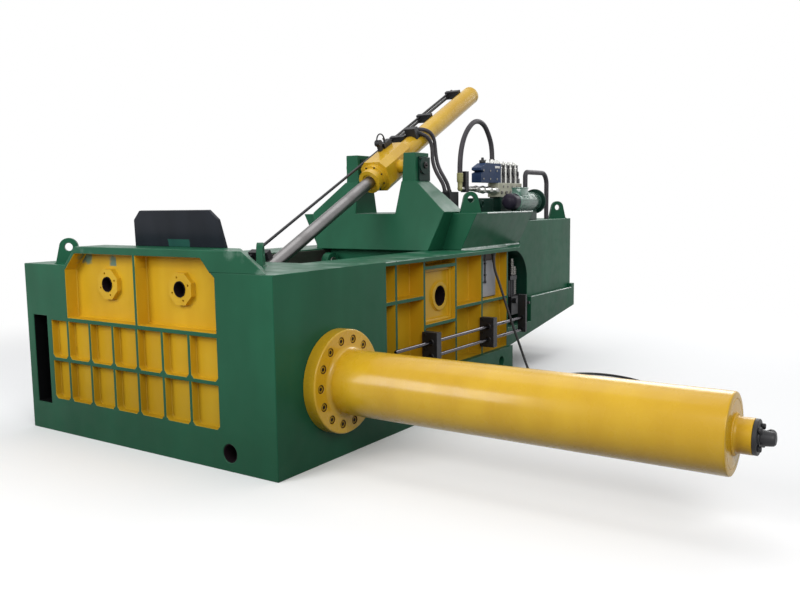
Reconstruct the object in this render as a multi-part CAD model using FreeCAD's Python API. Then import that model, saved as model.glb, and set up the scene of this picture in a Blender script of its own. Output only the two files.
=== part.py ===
"""Scrap metal baler: welded press box, side, main and lid cylinders, gate, yoke and hydraulics.

Millimetres. +Z is up, -Y is the front and +X the side that carries the side cylinder.
The origin is on the floor, on the machine's centre plane, 520 behind the front face.
"""

import FreeCAD
import Part
import math
import os

V = FreeCAD.Vector
X_AXIS = V(1, 0, 0)
Y_AXIS = V(0, 1, 0)
Z_AXIS = V(0, 0, 1)

# ---- press box
WALL_TOP = 1250.0            # top of the side walls above the floor
HALF_WIDTH = 1050.0          # centre plane to the edge of the wall flanges
FRONT = -520.0               # front face of the front block
BLOCK_END = 640.0            # rear face of the front block
WALL_END = 2647.0            # rear end of the side walls
CHAMBER_HALF = 550.0         # centre plane to the wall's inner face
LINER = 20.0                 # thickness of the chamber's wear plates
FLOOR = 230.0                # top of the chamber's floor
SLIDE_GAP = 5.0              # clearance of rams, gate and lid in their ways
SEAT = 0.3                   # clearance where curved or painted faces meet
FIT = 0.05                   # radial clearance of a running fit

# ---- bale compartment, side ram and gate
SIDE_AXIS_Y = 64.0           # where the side cylinder's axis crosses the machine
SIDE_AXIS_Z = 522.0          # height of the side cylinder's axis
RAM_HALF = 240.0             # half length of the bale compartment's side way along Y
BALE_FRONT = SIDE_AXIS_Y - 250.0  # front wall of the bale compartment
BALE_REAR = SIDE_AXIS_Y + 262.0  # rear edge of the fixed roof over the bale
BALE_FLOOR = 240.0           # bottom of the side ram's way
BALE_TOP = 2 * SIDE_AXIS_Z - BALE_FLOOR  # top of the side ram's way
ROOF_BOTTOM = BALE_TOP + 16.0  # underside of the fixed roof
RAM_POCKET = 330.0           # depth of the side ram's pocket in the right wall
SIDE_ROD = 120.0             # radius of the side rod
SIDE_STROKE = 1750.0         # the bale then stands outside the gate
GATE_BOX = 400.0             # how far the gate box stands out on the left
GATE_OUTER = 80.0 - HALF_WIDTH - GATE_BOX  # outer face of the gate's channel
GATE_WIDTH = 165.0           # width of the gate's channel
GATE_LOW = 207.0             # bottom of the gate's channel
GATE_HIGH = 867.0            # top of the gate's channel
GATE_HALF = 270.0            # half length of the gate plate
GATE_TUBE = 80.0             # outer radius of the gate's cylinder
GATE_ROD = 40.0
GATE_TUBE_LENGTH = 760.0
GATE_AXIS_X = GATE_OUTER + GATE_WIDTH / 2

# ---- front face
CELL_DEPTH = 55.0            # depth of the small cells
CELL_LEFT = GATE_OUTER + GATE_WIDTH + 58.0  # left edge of the small cells
CELL_RIGHT = 567.0           # right edge of the small cells
CELL_FIRST_RIB = CELL_LEFT + 189.0  # centre of the first upright rib
CELL_RIBS = 6                # upright ribs between the small cells
RIB = 26.0                   # thickness of all ribs
CELL_ROWS = ((256.0, 538.0), (565.0, 839.0))
CELL_CORNER = 22.0           # corner of the cells
UPPER_DEPTH = 100.0          # depth of the two large cells
UPPER_LOW = 869.0
UPPER_HIGH = 1335.0
UPPER_LEFT = CELL_LEFT + 197.0
UPPER_MIDDLE = -189.0        # centre of the rib between the large cells
UPPER_RIGHT = 567.0
UPPER_CORNER = 120.0
CROWN_TOP = 1385.0           # top of the raised middle of the front
CROWN_LEFT = UPPER_LEFT      # left end of the crown's foot
CROWN_LEAN = 130.0           # how far that end leans in on its way up
CROWN_RIGHT = HALF_WIDTH - 45.0  # right end of the crown's foot at the front face
CROWN_DEPTH = 408.0          # depth of the crown's foot
CROWN_SLOPE = 200.0          # how far the right end leans in on its way up
CROWN_TOP_DEPTH = 260.0      # depth of the crown's top
PORT_Z = 1122.0              # height of the two flanged ports
PORT_X = (-563.0, 179.0)
PORT_BORE = 53.0
PORT_FLATS = 105.0           # half the width over the port flange's flats
PORT_THICK = 34.0
PORT_BOLT_CIRCLE = 80.0
PORT_BOLT = 8.0
PORT_BOLT_TURN = 20.0        # degrees from the X axis to the first bolt hole
PORT_DEPTH = 120.0           # depth of the port's bore behind the flange
LOW_HOLE_X = HALF_WIDTH - 400.0
LOW_HOLE_Z = 117.0
LOW_HOLE = 60.0
LOW_HOLE_DEPTH = 200.0

# ---- side walls
WEB = HALF_WIDTH - 180.0     # outer face of the wall's web
RIB_EDGE = HALF_WIDTH - 50.0  # outer edge of the wall's ribs
FLANGE = 30.0                # thickness of the wall's top flange
BASE_TOP = 360.0             # top of the wall's base beam
WALL_RIBS = (840.0, 1225.0, 1706.0, 2152.0)
FRONT_SHELF = 940.0          # height of the level rib in the front columns
REAR_SHELF = 805.0           # height of the level rib in the rear columns
WINDOW_LOW = 712.0           # level rib under the window panel
WINDOW_HIGH = 1163.0         # level rib over the window panel
WINDOW_FACE = WEB + 65.0
WINDOW_THICK = 20.0
WINDOW_RIM = 28.0
WINDOW_BORE = 82.0
WINDOW_RING = 116.0
WINDOW_AXIS = (1535.0, 920.0)
REAR_WEB = HALF_WIDTH - 124.0  # web's outer face in the last column
BASE_HOLE = (2422.0, 250.0)
BASE_HOLE_RADIUS = 45.0
FLANGE_END = 2790.0          # where the flange starts to taper

# ---- rear housing
HOUSING_HALF = HALF_WIDTH - 234.0
HOUSING_END = 4560.0
HOUSING_TOP = 1475.0
HOUSING_STEP = 3270.0        # where the raised rear part starts
KEEL_FRONT = 247.0           # underside at the wall's end
KEEL_REAR = 512.0            # underside at the rear end
SKIRT = 45.0
SKIRT_TOP = 715.0
BAY_FRONT = 2690.0
BAY_REAR = 3442.0
BAY_LOW = 470.0
BAY_HIGH = 1191.0
BAY_CORNER = 300.0
BAY_INNER = HOUSING_HALF - 366.0  # inner face of the service bay

# ---- top boxes and yoke
TOP_BOX_FRONT = 2140.0
TOP_BOX_TOP = 1567.0
TOP_BOX_INNER = 330.0
TOP_BOX_FOOT = HALF_WIDTH - 250.0
TOP_BOX_BROW = HALF_WIDTH - 90.0
YOKE_FOOT = (610.0, 1250.0)  # X and Z of the yoke's outline, from foot to neck
YOKE_SHOULDER = (722.0, 1580.0)
YOKE_NECK = (388.0, 1855.0)
YOKE_FRONT = 1900.0          # Y of the front plate's foot
YOKE_LEAN = 0.275            # rise to the rear of the leaning front plate, per unit of height
YOKE_PLATE = 45.0
YOKE_REAR = 2330.0
YOKE_NECK_REAR = 2300.0
YOKE_SILL = 1568.0           # bottom of the window between the towers
YOKE_SILL_HALF = 218.0
TOWER_FRONT = 2078.0
TOWER_TOP = 2103.0
TOWER_OUTER = 381.0
TOWER_INNER = 255.0
TOWER_CAP = 38.0             # thickness of the plate over each bearing
BEARING_PROUD = 14.0         # how far each bearing stands out of its tower
DECK_FRONT = 2000.0

# ---- main ram
MAIN_FACE = 1850.0           # front face of the main ram at rest
MAIN_LENGTH = 700.0
LID_LOW = ROOF_BOTTOM + 7.0
MAIN_TOP = LID_LOW - 9.0
DECK_LOW = MAIN_TOP + 12.0
MAIN_STROKE = MAIN_FACE - BALE_REAR
MAIN_ROD = 110.0
TUBE = 209.0                 # outer radius of the side and main cylinders
BORE = 160.0                 # inner radius of the side and main cylinders
MAIN_AXIS_Z = (FLOOR + MAIN_TOP) / 2
PISTON = 100.0               # length of a piston
GLAND = 90.0                 # length of a gland
END_WALL = 60.0              # thickness of a cylinder's rear wall

# ---- side cylinder
SIDE_END = 3501.0
SIDE_FLANGE = 338.0
SIDE_HEAD = 280.0            # length of the side ram's head
SIDE_HEAD_SET = 20.0         # how far its face stands back in its pocket
SIDE_FLANGE_THICK = 93.0
SIDE_BOLTS = 14
SIDE_BOLT_CIRCLE = 275.0
SIDE_BOLT_HEAD = 22.0
SIDE_COUNTERBORE = 27.0
SIDE_COUNTERBORE_DEPTH = 16.0
WELD = 28.0                  # fillet between flange and tube
BOSS = 90.0
BOSS_LENGTH = 90.0
PORT_DISC = 74.0
PORT_DISC_THICK = 28.0
ELBOW = 30.0

# ---- lid and its cylinder
HINGE = (1900.0, 1130.0)     # Y and Z of the lid's hinge
HINGE_PIN = 45.0
HINGE_BARREL = 85.0
LID_HALF = CHAMBER_HALF - LINER - 10.0
LID_PLATE = 40.0
LID_RIB = 90.0
LID_REAR = 1840.0
EYE = (480.0, 1123.0)        # Y and Z of the rod's eye
EYE_RADIUS = 105.0
EYE_HALF = 60.0
EYE_BORE = 66.0              # wide, because the linkage is opened here
EYE_PIN = 32.0
LUG = 40.0
LUG_GAP = 15.0
TRUNNION = (2195.0, 1992.0)  # Y and Z of the lid cylinder's trunnion
TRUNNION_PIN = 60.0
LID_TUBE = 92.0
LID_BORE = 70.0
LID_ROD = 53.0
LID_TUBE_END = 1770.0
BLOCK_HALF = 140.0
BLOCK_CORNER = 58.0
BLOCK_FRONT = -205.0
BLOCK_REAR = 225.0
NOSE = 106.0
NOSE_FRONT = -319.0
LID_RISE = math.degrees(math.atan2(TRUNNION[1] - EYE[1], TRUNNION[0] - EYE[0]))
LID_LENGTH = math.hypot(TRUNNION[0] - EYE[0], TRUNNION[1] - EYE[1])
LID_FRONT = HINGE[0] - math.sqrt((HINGE[0] - BALE_REAR - SLIDE_GAP) ** 2 - (HINGE[1] - LID_LOW) ** 2)
STROKE_BAR = 12.0
STROKE_BAR_X = -180.0
STROKE_BAR_RISE = 87.0
GUIDE_PLACES = (430.0, 970.0, 1600.0)
GUIDE_LENGTH = 45.0
PORT_BLOCK = (470.0, 532.0)  # where the hose block sits along the lid cylinder's tube
PORT_BLOCK_X = (-40.0, 76.0)
PORT_BLOCK_TOP = 166.0
LID_HOSE = 18.0              # radius of the lid cylinder's hoses
NOZZLE = 40.0                # length of the nozzles in the hose block
POST = (45.0, 215.0)         # where the switch post stands and how high its head is

# ---- hydraulics on the top boxes and the rear housing
EQUIPMENT_X = 480.0          # plane of the valves
MANIFOLD_Y = (3363.0, 3890.0)
MANIFOLD_Z = (1710.0, 1850.0)
MANIFOLD_HALF = 62.0
VALVE_HALF = 52.0
VALVE_Y = (3010.0, 3430.0)
VALVE_TOP = 2040.0
COIL_TOP = 2075.0
SOLENOIDS = 4
HOSE = 24.0                  # radius of the large hose
HOSE_X = 450.0
HOSE_Y = (2744.0, 3395.0)    # where the large hose starts and ends
HOSE_END = 2085.0            # height of its end over the valve
FERRULE_TOP = 1935.0
RUN_Z = 1790.0               # height of the steel pipe under the large hose
RUN = 20.0                   # radius of that pipe
NUT = 32.0
MOTOR_X = 750.0
MOTOR_Y = (3200.0, 3740.0)
MOTOR = 95.0                 # radius of the motor
MOTOR_Z = TOP_BOX_TOP + MOTOR + SEAT
MOTOR_FLANGE = 122.0
PIPE = 21.0                  # radius of the steel pipe
PIPE_X = 700.0
PIPE_BOSS_TOP = 1775.0
PIPE_TOP = 1958.0
PIPE_REAR = 4165.0
HOSE_BLOCK_Y = (2600.0, 2762.0)  # the block where the lid cylinder's hoses end
HOSE_BLOCK_TOP = 1760.0
HOSE_BLOCK_X = (318.0, 424.0)
LID_HOSE_POINTS = (          # the outer and the inner lid hose, from the cylinder to the block
    ((8, 2630, 2356), (60, 2700, 2366), (113, 2768, 2336), (130, 2808, 2274), (138, 2812, 2200),
     (157, 2794, 2118), (190, 2762, 2040), (240, 2735, 1961), (296, 2722, 1888), (334, 2717, 1828),
     (350, 2713, 1774)),
    ((82, 2645, 2313), (104, 2680, 2302), (123, 2712, 2276), (136, 2734, 2238), (143, 2745, 2190),
     (150, 2741, 2130), (157, 2728, 2072), (188, 2709, 1998), (236, 2687, 1930), (292, 2665, 1868),
     (326, 2652, 1821), (339, 2648, 1774)),
)

# ---- valves in the service bay
BAY_VALVE_Y = (3150.0, 3430.0)
BAY_VALVE_Z = (560.0, 740.0)
BAY_VALVE_X = HOUSING_HALF - 26.0
BAY_HOSE = 20.0
BAY_HOSE_PITCH = 20.0

# ---- the free cable
CABLE = 11.0                 # radius of the free cable
CABLE_GLAND = (HALF_WIDTH - 45.0, 2352.0)
COIL_MEAN = 121.0            # mean radius of the cable's coil
COIL_STEP = 27.0             # how far the spiral closes in per turn
COIL_CENTRE = (HALF_WIDTH + 1005.0, 2350.0)
COIL_TURNS = 3.5
COIL_EXIT = 110.0
PLUG = 33.0                  # radius of the plug

# ---- trip rods on the right wall
TRIP_X = HALF_WIDTH + 31.0
TRIP_Z = (495.0, 605.0)
TRIP_ROD = 14.0
TRIP_FRONT = 700.0
TRIP_REAR = 2795.0
GUIDE_OUTER = HALF_WIDTH + 82.0
GUIDE_LOW = 427.0
GUIDE_HIGH = 680.0
GUIDE_THICK = 66.0

# ---- lifting ears
EAR_WIDTH = 190.0
EAR_THICK = 44.0
EAR_HOLE = 30.0
EAR_HEAD = 0.355             # radius of an ear's head as a share of its height
EAR_PLACES = (               # X, Y, turn, Z and height of each ear
    (-HALF_WIDTH - 52, FRONT + 150, 45.0, WALL_TOP, 186.0),
    (CHAMBER_HALF - 60, FRONT + 500, -53.0, WALL_TOP, 160.0),
    (HOUSING_HALF - 86, HOUSING_END - 180, 45.0, HOUSING_TOP, 186.0),
    (86 - HOUSING_HALF, HOUSING_END - 180, -45.0, HOUSING_TOP, 186.0),
    (YOKE_SHOULDER[0] + 84, TOP_BOX_FRONT + 162, 45.0, TOP_BOX_TOP, 186.0),
)

# ---- guard plate behind the crown
GUARD_X = -12.0
GUARD_FOOT = 447.0
GUARD_SHOULDER = (416.0, 188.0)
GUARD_BROW = (343.0, 251.0)
GUARD_THICK = 20.0
GUARD_LEAN = 9.0


def block(x, y, z):
    """A box from its three (low, high) spans."""
    return Part.makeBox(x[1] - x[0], y[1] - y[0], z[1] - z[0], V(x[0], y[0], z[0]))


def prism(points, direction):
    """A solid swept along direction from a closed outline of points."""
    return Part.Face(Part.makePolygon(points + points[:1])).extrude(direction)


def prism_x(outline, x):
    """A solid between two X values from an outline of (Y, Z) pairs."""
    return prism([V(x[0], py, pz) for py, pz in outline], V(x[1] - x[0], 0, 0))


def prism_y(outline, y):
    """A solid between two Y values from an outline of (X, Z) pairs."""
    return prism([V(px, y[0], pz) for px, pz in outline], V(0, y[1] - y[0], 0))


def prism_z(outline, z):
    """A solid between two Z values from an outline of (X, Y) pairs."""
    return prism([V(px, py, z[0]) for px, py in outline], V(0, 0, z[1] - z[0]))


def round_x(radius, x, y, z):
    """A cylinder along X at a given Y and Z."""
    return Part.makeCylinder(radius, x[1] - x[0], V(x[0], y, z), X_AXIS)


def round_y(radius, y, x, z):
    """A cylinder along Y at a given X and Z."""
    return Part.makeCylinder(radius, y[1] - y[0], V(x, y[0], z), Y_AXIS)


def round_z(radius, z, x, y):
    """A cylinder along Z at a given X and Y."""
    return Part.makeCylinder(radius, z[1] - z[0], V(x, y, z[0]), Z_AXIS)


def mirrored(shape):
    """The same shape on the other side of the centre plane."""
    return shape.mirror(V(0, 0, 0), X_AXIS)


def joined(first, *others):
    """One solid from pieces that are welded together."""
    return first.fuse(list(others)).removeSplitter()


def group(solids):
    """Several equal or paired solids that share one node."""
    return Part.makeCompound(solids)


def cell(x, z, depth, corner):
    """A recess in the front face with cut corners at its foot."""
    outline = [
        (x[0] + corner, z[0]), (x[1] - corner, z[0]), (x[1], z[0] + corner),
        (x[1], z[1]), (x[0], z[1]), (x[0], z[0] + corner),
    ]
    return prism_y(outline, (FRONT, FRONT + depth))


def front_cells():
    """All recesses of the front face."""
    pitch = (CELL_RIGHT - RIB / 2 - CELL_FIRST_RIB - (CELL_RIGHT - CELL_LEFT) * 0.14) / (CELL_RIBS - 1)
    ribs = [CELL_FIRST_RIB + pitch * i for i in range(CELL_RIBS)]
    lefts = [CELL_LEFT] + [x + RIB / 2 for x in ribs]
    rights = [x - RIB / 2 for x in ribs] + [CELL_RIGHT]
    cells = []
    for row in CELL_ROWS:
        for x in zip(lefts, rights):
            cells.append(cell(x, row, CELL_DEPTH, CELL_CORNER))
    middle = (UPPER_MIDDLE - RIB / 2, UPPER_MIDDLE + RIB / 2)
    for edge, inner in ((UPPER_LEFT, middle[0]), (UPPER_RIGHT, middle[1])):
        turn = math.copysign(UPPER_CORNER, inner - edge)
        outline = [
            (edge, UPPER_LOW), (inner, UPPER_LOW), (inner, UPPER_HIGH),
            (edge + turn, UPPER_HIGH), (edge, UPPER_HIGH - UPPER_CORNER),
        ]
        cells.append(prism_y(outline, (FRONT, FRONT + UPPER_DEPTH)))
    return cells


def crown():
    """The raised middle of the front, a loft whose right end leans in and runs back at 45 degrees."""
    outlines = []
    for left, right, depth, z in (
            (CROWN_LEFT, CROWN_RIGHT, CROWN_DEPTH, WALL_TOP),
            (CROWN_LEFT + CROWN_LEAN, CROWN_RIGHT - CROWN_SLOPE, CROWN_TOP_DEPTH, CROWN_TOP)):
        corners = [
            V(left, FRONT, z), V(right, FRONT, z), V(right - depth, FRONT + depth, z), V(left, FRONT + depth, z),
        ]
        outlines.append(Part.makePolygon(corners + corners[:1]))
    return Part.makeLoft(outlines, True, True)


def front_block():
    """The front block's face slab with its cells, ports and gate slot, and the crown on top of it."""
    left = -HALF_WIDTH - GATE_BOX
    slab = block((left, HALF_WIDTH), (FRONT, BALE_FRONT), (0, WALL_TOP))
    ways = [
        block((GATE_OUTER, GATE_OUTER + GATE_WIDTH), (FRONT, BALE_FRONT), (GATE_LOW, GATE_HIGH)),
        round_y(LOW_HOLE, (FRONT, FRONT + LOW_HOLE_DEPTH), LOW_HOLE_X, LOW_HOLE_Z),
    ]
    for x in PORT_X:
        start = FRONT + UPPER_DEPTH
        ways.append(round_y(PORT_BORE, (start, start + PORT_DEPTH), x, PORT_Z))
    cells = front_cells()
    return group([slab.cut(ways + cells).removeSplitter(), crown().cut(cells).removeSplitter()])


def bale_box():
    """The floor, roof and sides round the bale compartment, with the side ram's pocket and the gate box."""
    left = -HALF_WIDTH - GATE_BOX
    depth = (BALE_FRONT, BLOCK_END)
    slot = block((GATE_OUTER, GATE_OUTER + GATE_WIDTH), depth, (GATE_LOW, GATE_HIGH))
    way = (SIDE_AXIS_Y - RAM_HALF, SIDE_AXIS_Y + RAM_HALF)
    pocket = CHAMBER_HALF + RAM_POCKET
    floor = block((left, HALF_WIDTH), depth, (0, BALE_FLOOR))
    floor = floor.cut([slot, block((-CHAMBER_HALF, CHAMBER_HALF), depth, (FLOOR, BALE_FLOOR))])
    roof = block((-CHAMBER_HALF, CHAMBER_HALF), (BALE_FRONT, BALE_REAR), (ROOF_BOTTOM, WALL_TOP))
    right = block((CHAMBER_HALF, HALF_WIDTH), depth, (BALE_FLOOR, WALL_TOP)).cut([
        block((CHAMBER_HALF, pocket), way, (BALE_FLOOR, BALE_TOP)),
        round_x(SIDE_ROD + SLIDE_GAP, (pocket, HALF_WIDTH), SIDE_AXIS_Y, SIDE_AXIS_Z),
    ])
    gate_side = block((left, -CHAMBER_HALF), depth, (BALE_FLOOR, WALL_TOP))
    gate_side = gate_side.cut([slot, block((left, -CHAMBER_HALF), way, (BALE_FLOOR, BALE_TOP))])
    return group([floor, roof, right, gate_side])


def port_flanges():
    """Two eight-sided flanges round the ports of the large front cells."""
    flanges = []
    across = PORT_FLATS / math.cos(math.pi / 8)
    back = FRONT + UPPER_DEPTH
    for x in PORT_X:
        angles = [math.pi / 8 + i * math.pi / 4 for i in range(8)]
        outline = [(x + across * math.cos(a), PORT_Z + across * math.sin(a)) for a in angles]
        flange = prism_y(outline, (back - PORT_THICK, back))
        holes = [round_y(PORT_BORE, (back - PORT_THICK, back), x, PORT_Z)]
        for i in range(4):
            angle = math.radians(PORT_BOLT_TURN) + i * math.pi / 2
            hole_x = x + PORT_BOLT_CIRCLE * math.cos(angle)
            hole_z = PORT_Z + PORT_BOLT_CIRCLE * math.sin(angle)
            holes.append(round_y(PORT_BOLT, (back - PORT_THICK, back), hole_x, hole_z))
        flanges.append(flange.cut(holes))
    return group(flanges)


def gate_plate():
    """The gate, a thick plate that closes the bale's way out."""
    return block(
        (GATE_OUTER + SLIDE_GAP, GATE_OUTER + GATE_WIDTH - SLIDE_GAP),
        (SIDE_AXIS_Y - GATE_HALF, SIDE_AXIS_Y + GATE_HALF),
        (GATE_LOW + SEAT, GATE_HIGH - SLIDE_GAP))


def gate_cylinder_tube():
    """The gate's cylinder behind the gate box, with its square flange."""
    start = BLOCK_END
    half = GATE_TUBE + 30
    plate = block(
        (GATE_AXIS_X - half, GATE_AXIS_X + half), (start, start + 30), (SIDE_AXIS_Z - half, SIDE_AXIS_Z + half))
    tube = round_y(GATE_TUBE, (start + 30, start + GATE_TUBE_LENGTH), GATE_AXIS_X, SIDE_AXIS_Z)
    body = joined(plate, tube)
    bore = round_y(GATE_TUBE - 18, (start + 60, start + GATE_TUBE_LENGTH - 30), GATE_AXIS_X, SIDE_AXIS_Z)
    rod_way = round_y(GATE_ROD + FIT, (start, start + 60), GATE_AXIS_X, SIDE_AXIS_Z)
    return body.cut([bore, rod_way])


def gate_rod():
    """The gate's rod with its piston."""
    rod = round_y(GATE_ROD, (SIDE_AXIS_Y + GATE_HALF, BLOCK_END + GATE_TUBE_LENGTH - 90), GATE_AXIS_X, SIDE_AXIS_Z)
    end = BLOCK_END + GATE_TUBE_LENGTH - 90
    piston = round_y(GATE_TUBE - 18 - FIT, (end, end + 50), GATE_AXIS_X, SIDE_AXIS_Z)
    return joined(rod, piston)


def gate_cover():
    """The plate that closes the gate channel's rear end round the gate's rod."""
    cover = block((GATE_OUTER, GATE_OUTER + GATE_WIDTH), (BLOCK_END - 30, BLOCK_END), (GATE_LOW, GATE_HIGH))
    return cover.cut(round_y(GATE_ROD + SLIDE_GAP, (BLOCK_END - 30, BLOCK_END), GATE_AXIS_X, SIDE_AXIS_Z))


def side_wall(has_window):
    """The right-hand side wall with its ribs; the plain one is used mirrored on the left."""
    wall = block((CHAMBER_HALF, HALF_WIDTH), (BLOCK_END, WALL_END), (0, WALL_TOP))
    lip = prism_z(
        [(HOUSING_HALF, WALL_END), (HALF_WIDTH, WALL_END), (HALF_WIDTH, FLANGE_END),
         (HOUSING_HALF, HOUSING_STEP)],
        (WALL_TOP - FLANGE, WALL_TOP))
    ceiling = WALL_TOP - FLANGE
    cuts = [block((RIB_EDGE, HALF_WIDTH), (BLOCK_END, WALL_END), (BASE_TOP, ceiling))]
    faces = [BLOCK_END] + [y + side * RIB / 2 for y in WALL_RIBS for side in (-1, 1)] + [WALL_END - RIB]
    columns = list(zip(faces[0::2], faces[1::2]))
    shelves = [
        (FRONT_SHELF,), (FRONT_SHELF,), (WINDOW_LOW, WINDOW_HIGH) if has_window else (REAR_SHELF,),
        (REAR_SHELF,), (REAR_SHELF,),
    ]
    for index, (column, levels) in enumerate(zip(columns, shelves)):
        web = REAR_WEB if index == len(columns) - 1 else WEB
        edges = [BASE_TOP] + [z + side * RIB / 2 for z in levels for side in (-1, 1)] + [ceiling]
        for span in zip(edges[0::2], edges[1::2]):
            cuts.append(block((web, RIB_EDGE), column, span))
    if has_window:
        cuts.append(round_x(WINDOW_BORE, (WEB - 160, WEB), *WINDOW_AXIS))
        cuts.append(round_x(BASE_HOLE_RADIUS, (HALF_WIDTH - 200, HALF_WIDTH), *BASE_HOLE))
    cuts.append(round_x(HINGE_PIN + FIT, (CHAMBER_HALF, CHAMBER_HALF + 60), *HINGE))
    return joined(wall, lip).cut(cuts).removeSplitter()


def window_panel():
    """The panel between two ribs of the right wall, with a rim and a ring round its bore."""
    y = (WALL_RIBS[1] + RIB / 2, WALL_RIBS[2] - RIB / 2)
    z = (WINDOW_LOW + RIB / 2, WINDOW_HIGH - RIB / 2)
    plate = block((WEB, WINDOW_FACE), y, z)
    rim = block((WINDOW_FACE, WINDOW_FACE + WINDOW_RIM), y, z)
    rim = rim.cut(block(
        (WINDOW_FACE, WINDOW_FACE + WINDOW_RIM), (y[0] + 24, y[1] - 24), (z[0] + 24, z[1] - 24)))
    ring = round_x(WINDOW_RING, (WINDOW_FACE, WINDOW_FACE + 18), *WINDOW_AXIS)
    panel = joined(plate, rim, ring)
    return panel.cut(round_x(WINDOW_BORE, (WEB, WINDOW_FACE + 18), *WINDOW_AXIS))


def junction_cover():
    """The pale cover in the upper rear cell of the right wall."""
    y = (WALL_RIBS[3] + 50, WALL_END - RIB - 110)
    return block((REAR_WEB, REAR_WEB + 18), y, (REAR_SHELF + 25, WALL_TOP - FLANGE - 70))


def chamber_floor():
    """The floor between the side walls."""
    return block((-CHAMBER_HALF, CHAMBER_HALF), (BLOCK_END, WALL_END), (0, FLOOR))


def chamber_liners():
    """The wear plates on both walls of the chamber."""
    plate = block((CHAMBER_HALF - LINER, CHAMBER_HALF), (BALE_REAR, WALL_END - 60), (FLOOR, WALL_TOP - 10))
    plate = plate.cut(round_x(HINGE_PIN + FIT, (CHAMBER_HALF - LINER, CHAMBER_HALF), *HINGE))
    return group([plate, mirrored(plate)])


def deck():
    """The heavy plate over the main ram that carries the yoke."""
    inner = CHAMBER_HALF - LINER
    return block((-inner, inner), (DECK_FRONT, WALL_END), (DECK_LOW, WALL_TOP))


def guard():
    """The dark guard plate on the crown, leaning to the front."""
    outline = [
        (-GUARD_FOOT, 0), (GUARD_FOOT, 0), GUARD_SHOULDER, GUARD_BROW,
        (-GUARD_BROW[0], GUARD_BROW[1]), (-GUARD_SHOULDER[0], GUARD_SHOULDER[1]),
    ]
    plate = prism_y(outline, (-GUARD_THICK, 0))
    plate.rotate(V(0, 0, 0), X_AXIS, GUARD_LEAN)
    y = FRONT + CROWN_TOP_DEPTH
    plate.translate(V(GUARD_X, y, CROWN_TOP))
    return plate.cut(block((-2000, 2000), (-2000, 2000), (0, CROWN_TOP)))


def ear(height):
    """A lifting ear of a given height with a round head and a bore."""
    radius = height * EAR_HEAD
    eye_z = height - radius
    half = EAR_WIDTH / 2
    thick = (-EAR_THICK / 2, EAR_THICK / 2)
    cheek = (radius * 0.94, eye_z + radius * 0.34)
    plate = prism_y([(-half, 0), (half, 0), cheek, (-cheek[0], cheek[1])], thick)
    head = round_y(radius, thick, 0, eye_z)
    return joined(plate, head).cut(round_y(EAR_HOLE, thick, 0, eye_z))


def ears():
    """The lifting ears on the front block, the rear housing and the right top box."""
    placed = []
    for x, y, turn, z, height in EAR_PLACES:
        copy = ear(height)
        copy.rotate(V(0, 0, 0), Z_AXIS, turn)
        copy.translate(V(x, y, z))
        placed.append(copy)
    return group(placed)


def keel(y):
    """Height of the rear housing's underside at a given Y."""
    share = (y - WALL_END) / (HOUSING_END - WALL_END)
    return KEEL_FRONT + (KEEL_REAR - KEEL_FRONT) * share


def service_bay():
    """The open bay in the housing's right side, with one large round corner."""
    x = (BAY_INNER, HOUSING_HALF + SKIRT)
    low = block(x, (BAY_FRONT, BAY_REAR), (BAY_LOW, BAY_HIGH - BAY_CORNER))
    front = block(x, (BAY_FRONT, BAY_REAR - BAY_CORNER), (BAY_LOW, BAY_HIGH))
    corner = round_x(BAY_CORNER, x, BAY_REAR - BAY_CORNER, BAY_HIGH - BAY_CORNER)
    return joined(low, front, corner)


def rear_housing():
    """The rear housing round the main cylinder, with its raked underside."""
    outline = [
        (WALL_END, keel(WALL_END)), (HOUSING_END, keel(HOUSING_END)), (HOUSING_END, HOUSING_TOP),
        (HOUSING_STEP, HOUSING_TOP), (HOUSING_STEP, WALL_TOP), (WALL_END, WALL_TOP),
    ]
    body = prism_x(outline, (-HOUSING_HALF, HOUSING_HALF))
    tunnel = round_y(TUBE + SEAT, (WALL_END, HOUSING_END), 0, MAIN_AXIS_Z)
    return body.cut([tunnel, service_bay()]).removeSplitter()


def rear_skirts():
    """The plates that stand out along the foot of the rear housing, with a corner block each."""
    end = HOUSING_END + 15
    outline = [(WALL_END, keel(WALL_END)), (end, keel(end)), (end, SKIRT_TOP), (WALL_END, SKIRT_TOP)]
    x = (HOUSING_HALF, HOUSING_HALF + SKIRT)
    plate = joined(prism_x(outline, x), block(x, (end - 80, end), (SKIRT_TOP, SKIRT_TOP + 42)))
    return group([plate.cut(service_bay()), mirrored(plate)])


def side_slope(z):
    """Outer X of the yoke's side at a given height."""
    share = (z - YOKE_FOOT[1]) / (YOKE_SHOULDER[1] - YOKE_FOOT[1])
    return YOKE_FOOT[0] + (YOKE_SHOULDER[0] - YOKE_FOOT[0]) * share


def top_boxes():
    """The flared boxes that stand on the walls behind the yoke."""
    wing = prism_y(
        [(side_slope(WALL_TOP), WALL_TOP), (TOP_BOX_FOOT, WALL_TOP), (TOP_BOX_BROW, TOP_BOX_TOP),
         (side_slope(TOP_BOX_TOP), TOP_BOX_TOP)],
        (TOP_BOX_FRONT, YOKE_REAR))
    body = prism_y(
        [(TOP_BOX_INNER, WALL_TOP), (TOP_BOX_FOOT, WALL_TOP), (TOP_BOX_BROW, TOP_BOX_TOP),
         (TOP_BOX_INNER, TOP_BOX_TOP)],
        (YOKE_REAR, HOUSING_STEP))
    box = joined(wing, body)
    return group([box, mirrored(box)])


def yoke_front(z):
    """Y of the leaning front plate at a given height."""
    return YOKE_FRONT + YOKE_LEAN * (z - YOKE_FOOT[1])


def tower_edge(z):
    """Inner X of the tower at a given height."""
    share = (z - YOKE_SILL) / (TOWER_TOP - YOKE_SILL)
    return YOKE_SILL_HALF + (TOWER_INNER - YOKE_SILL_HALF) * share


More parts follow.
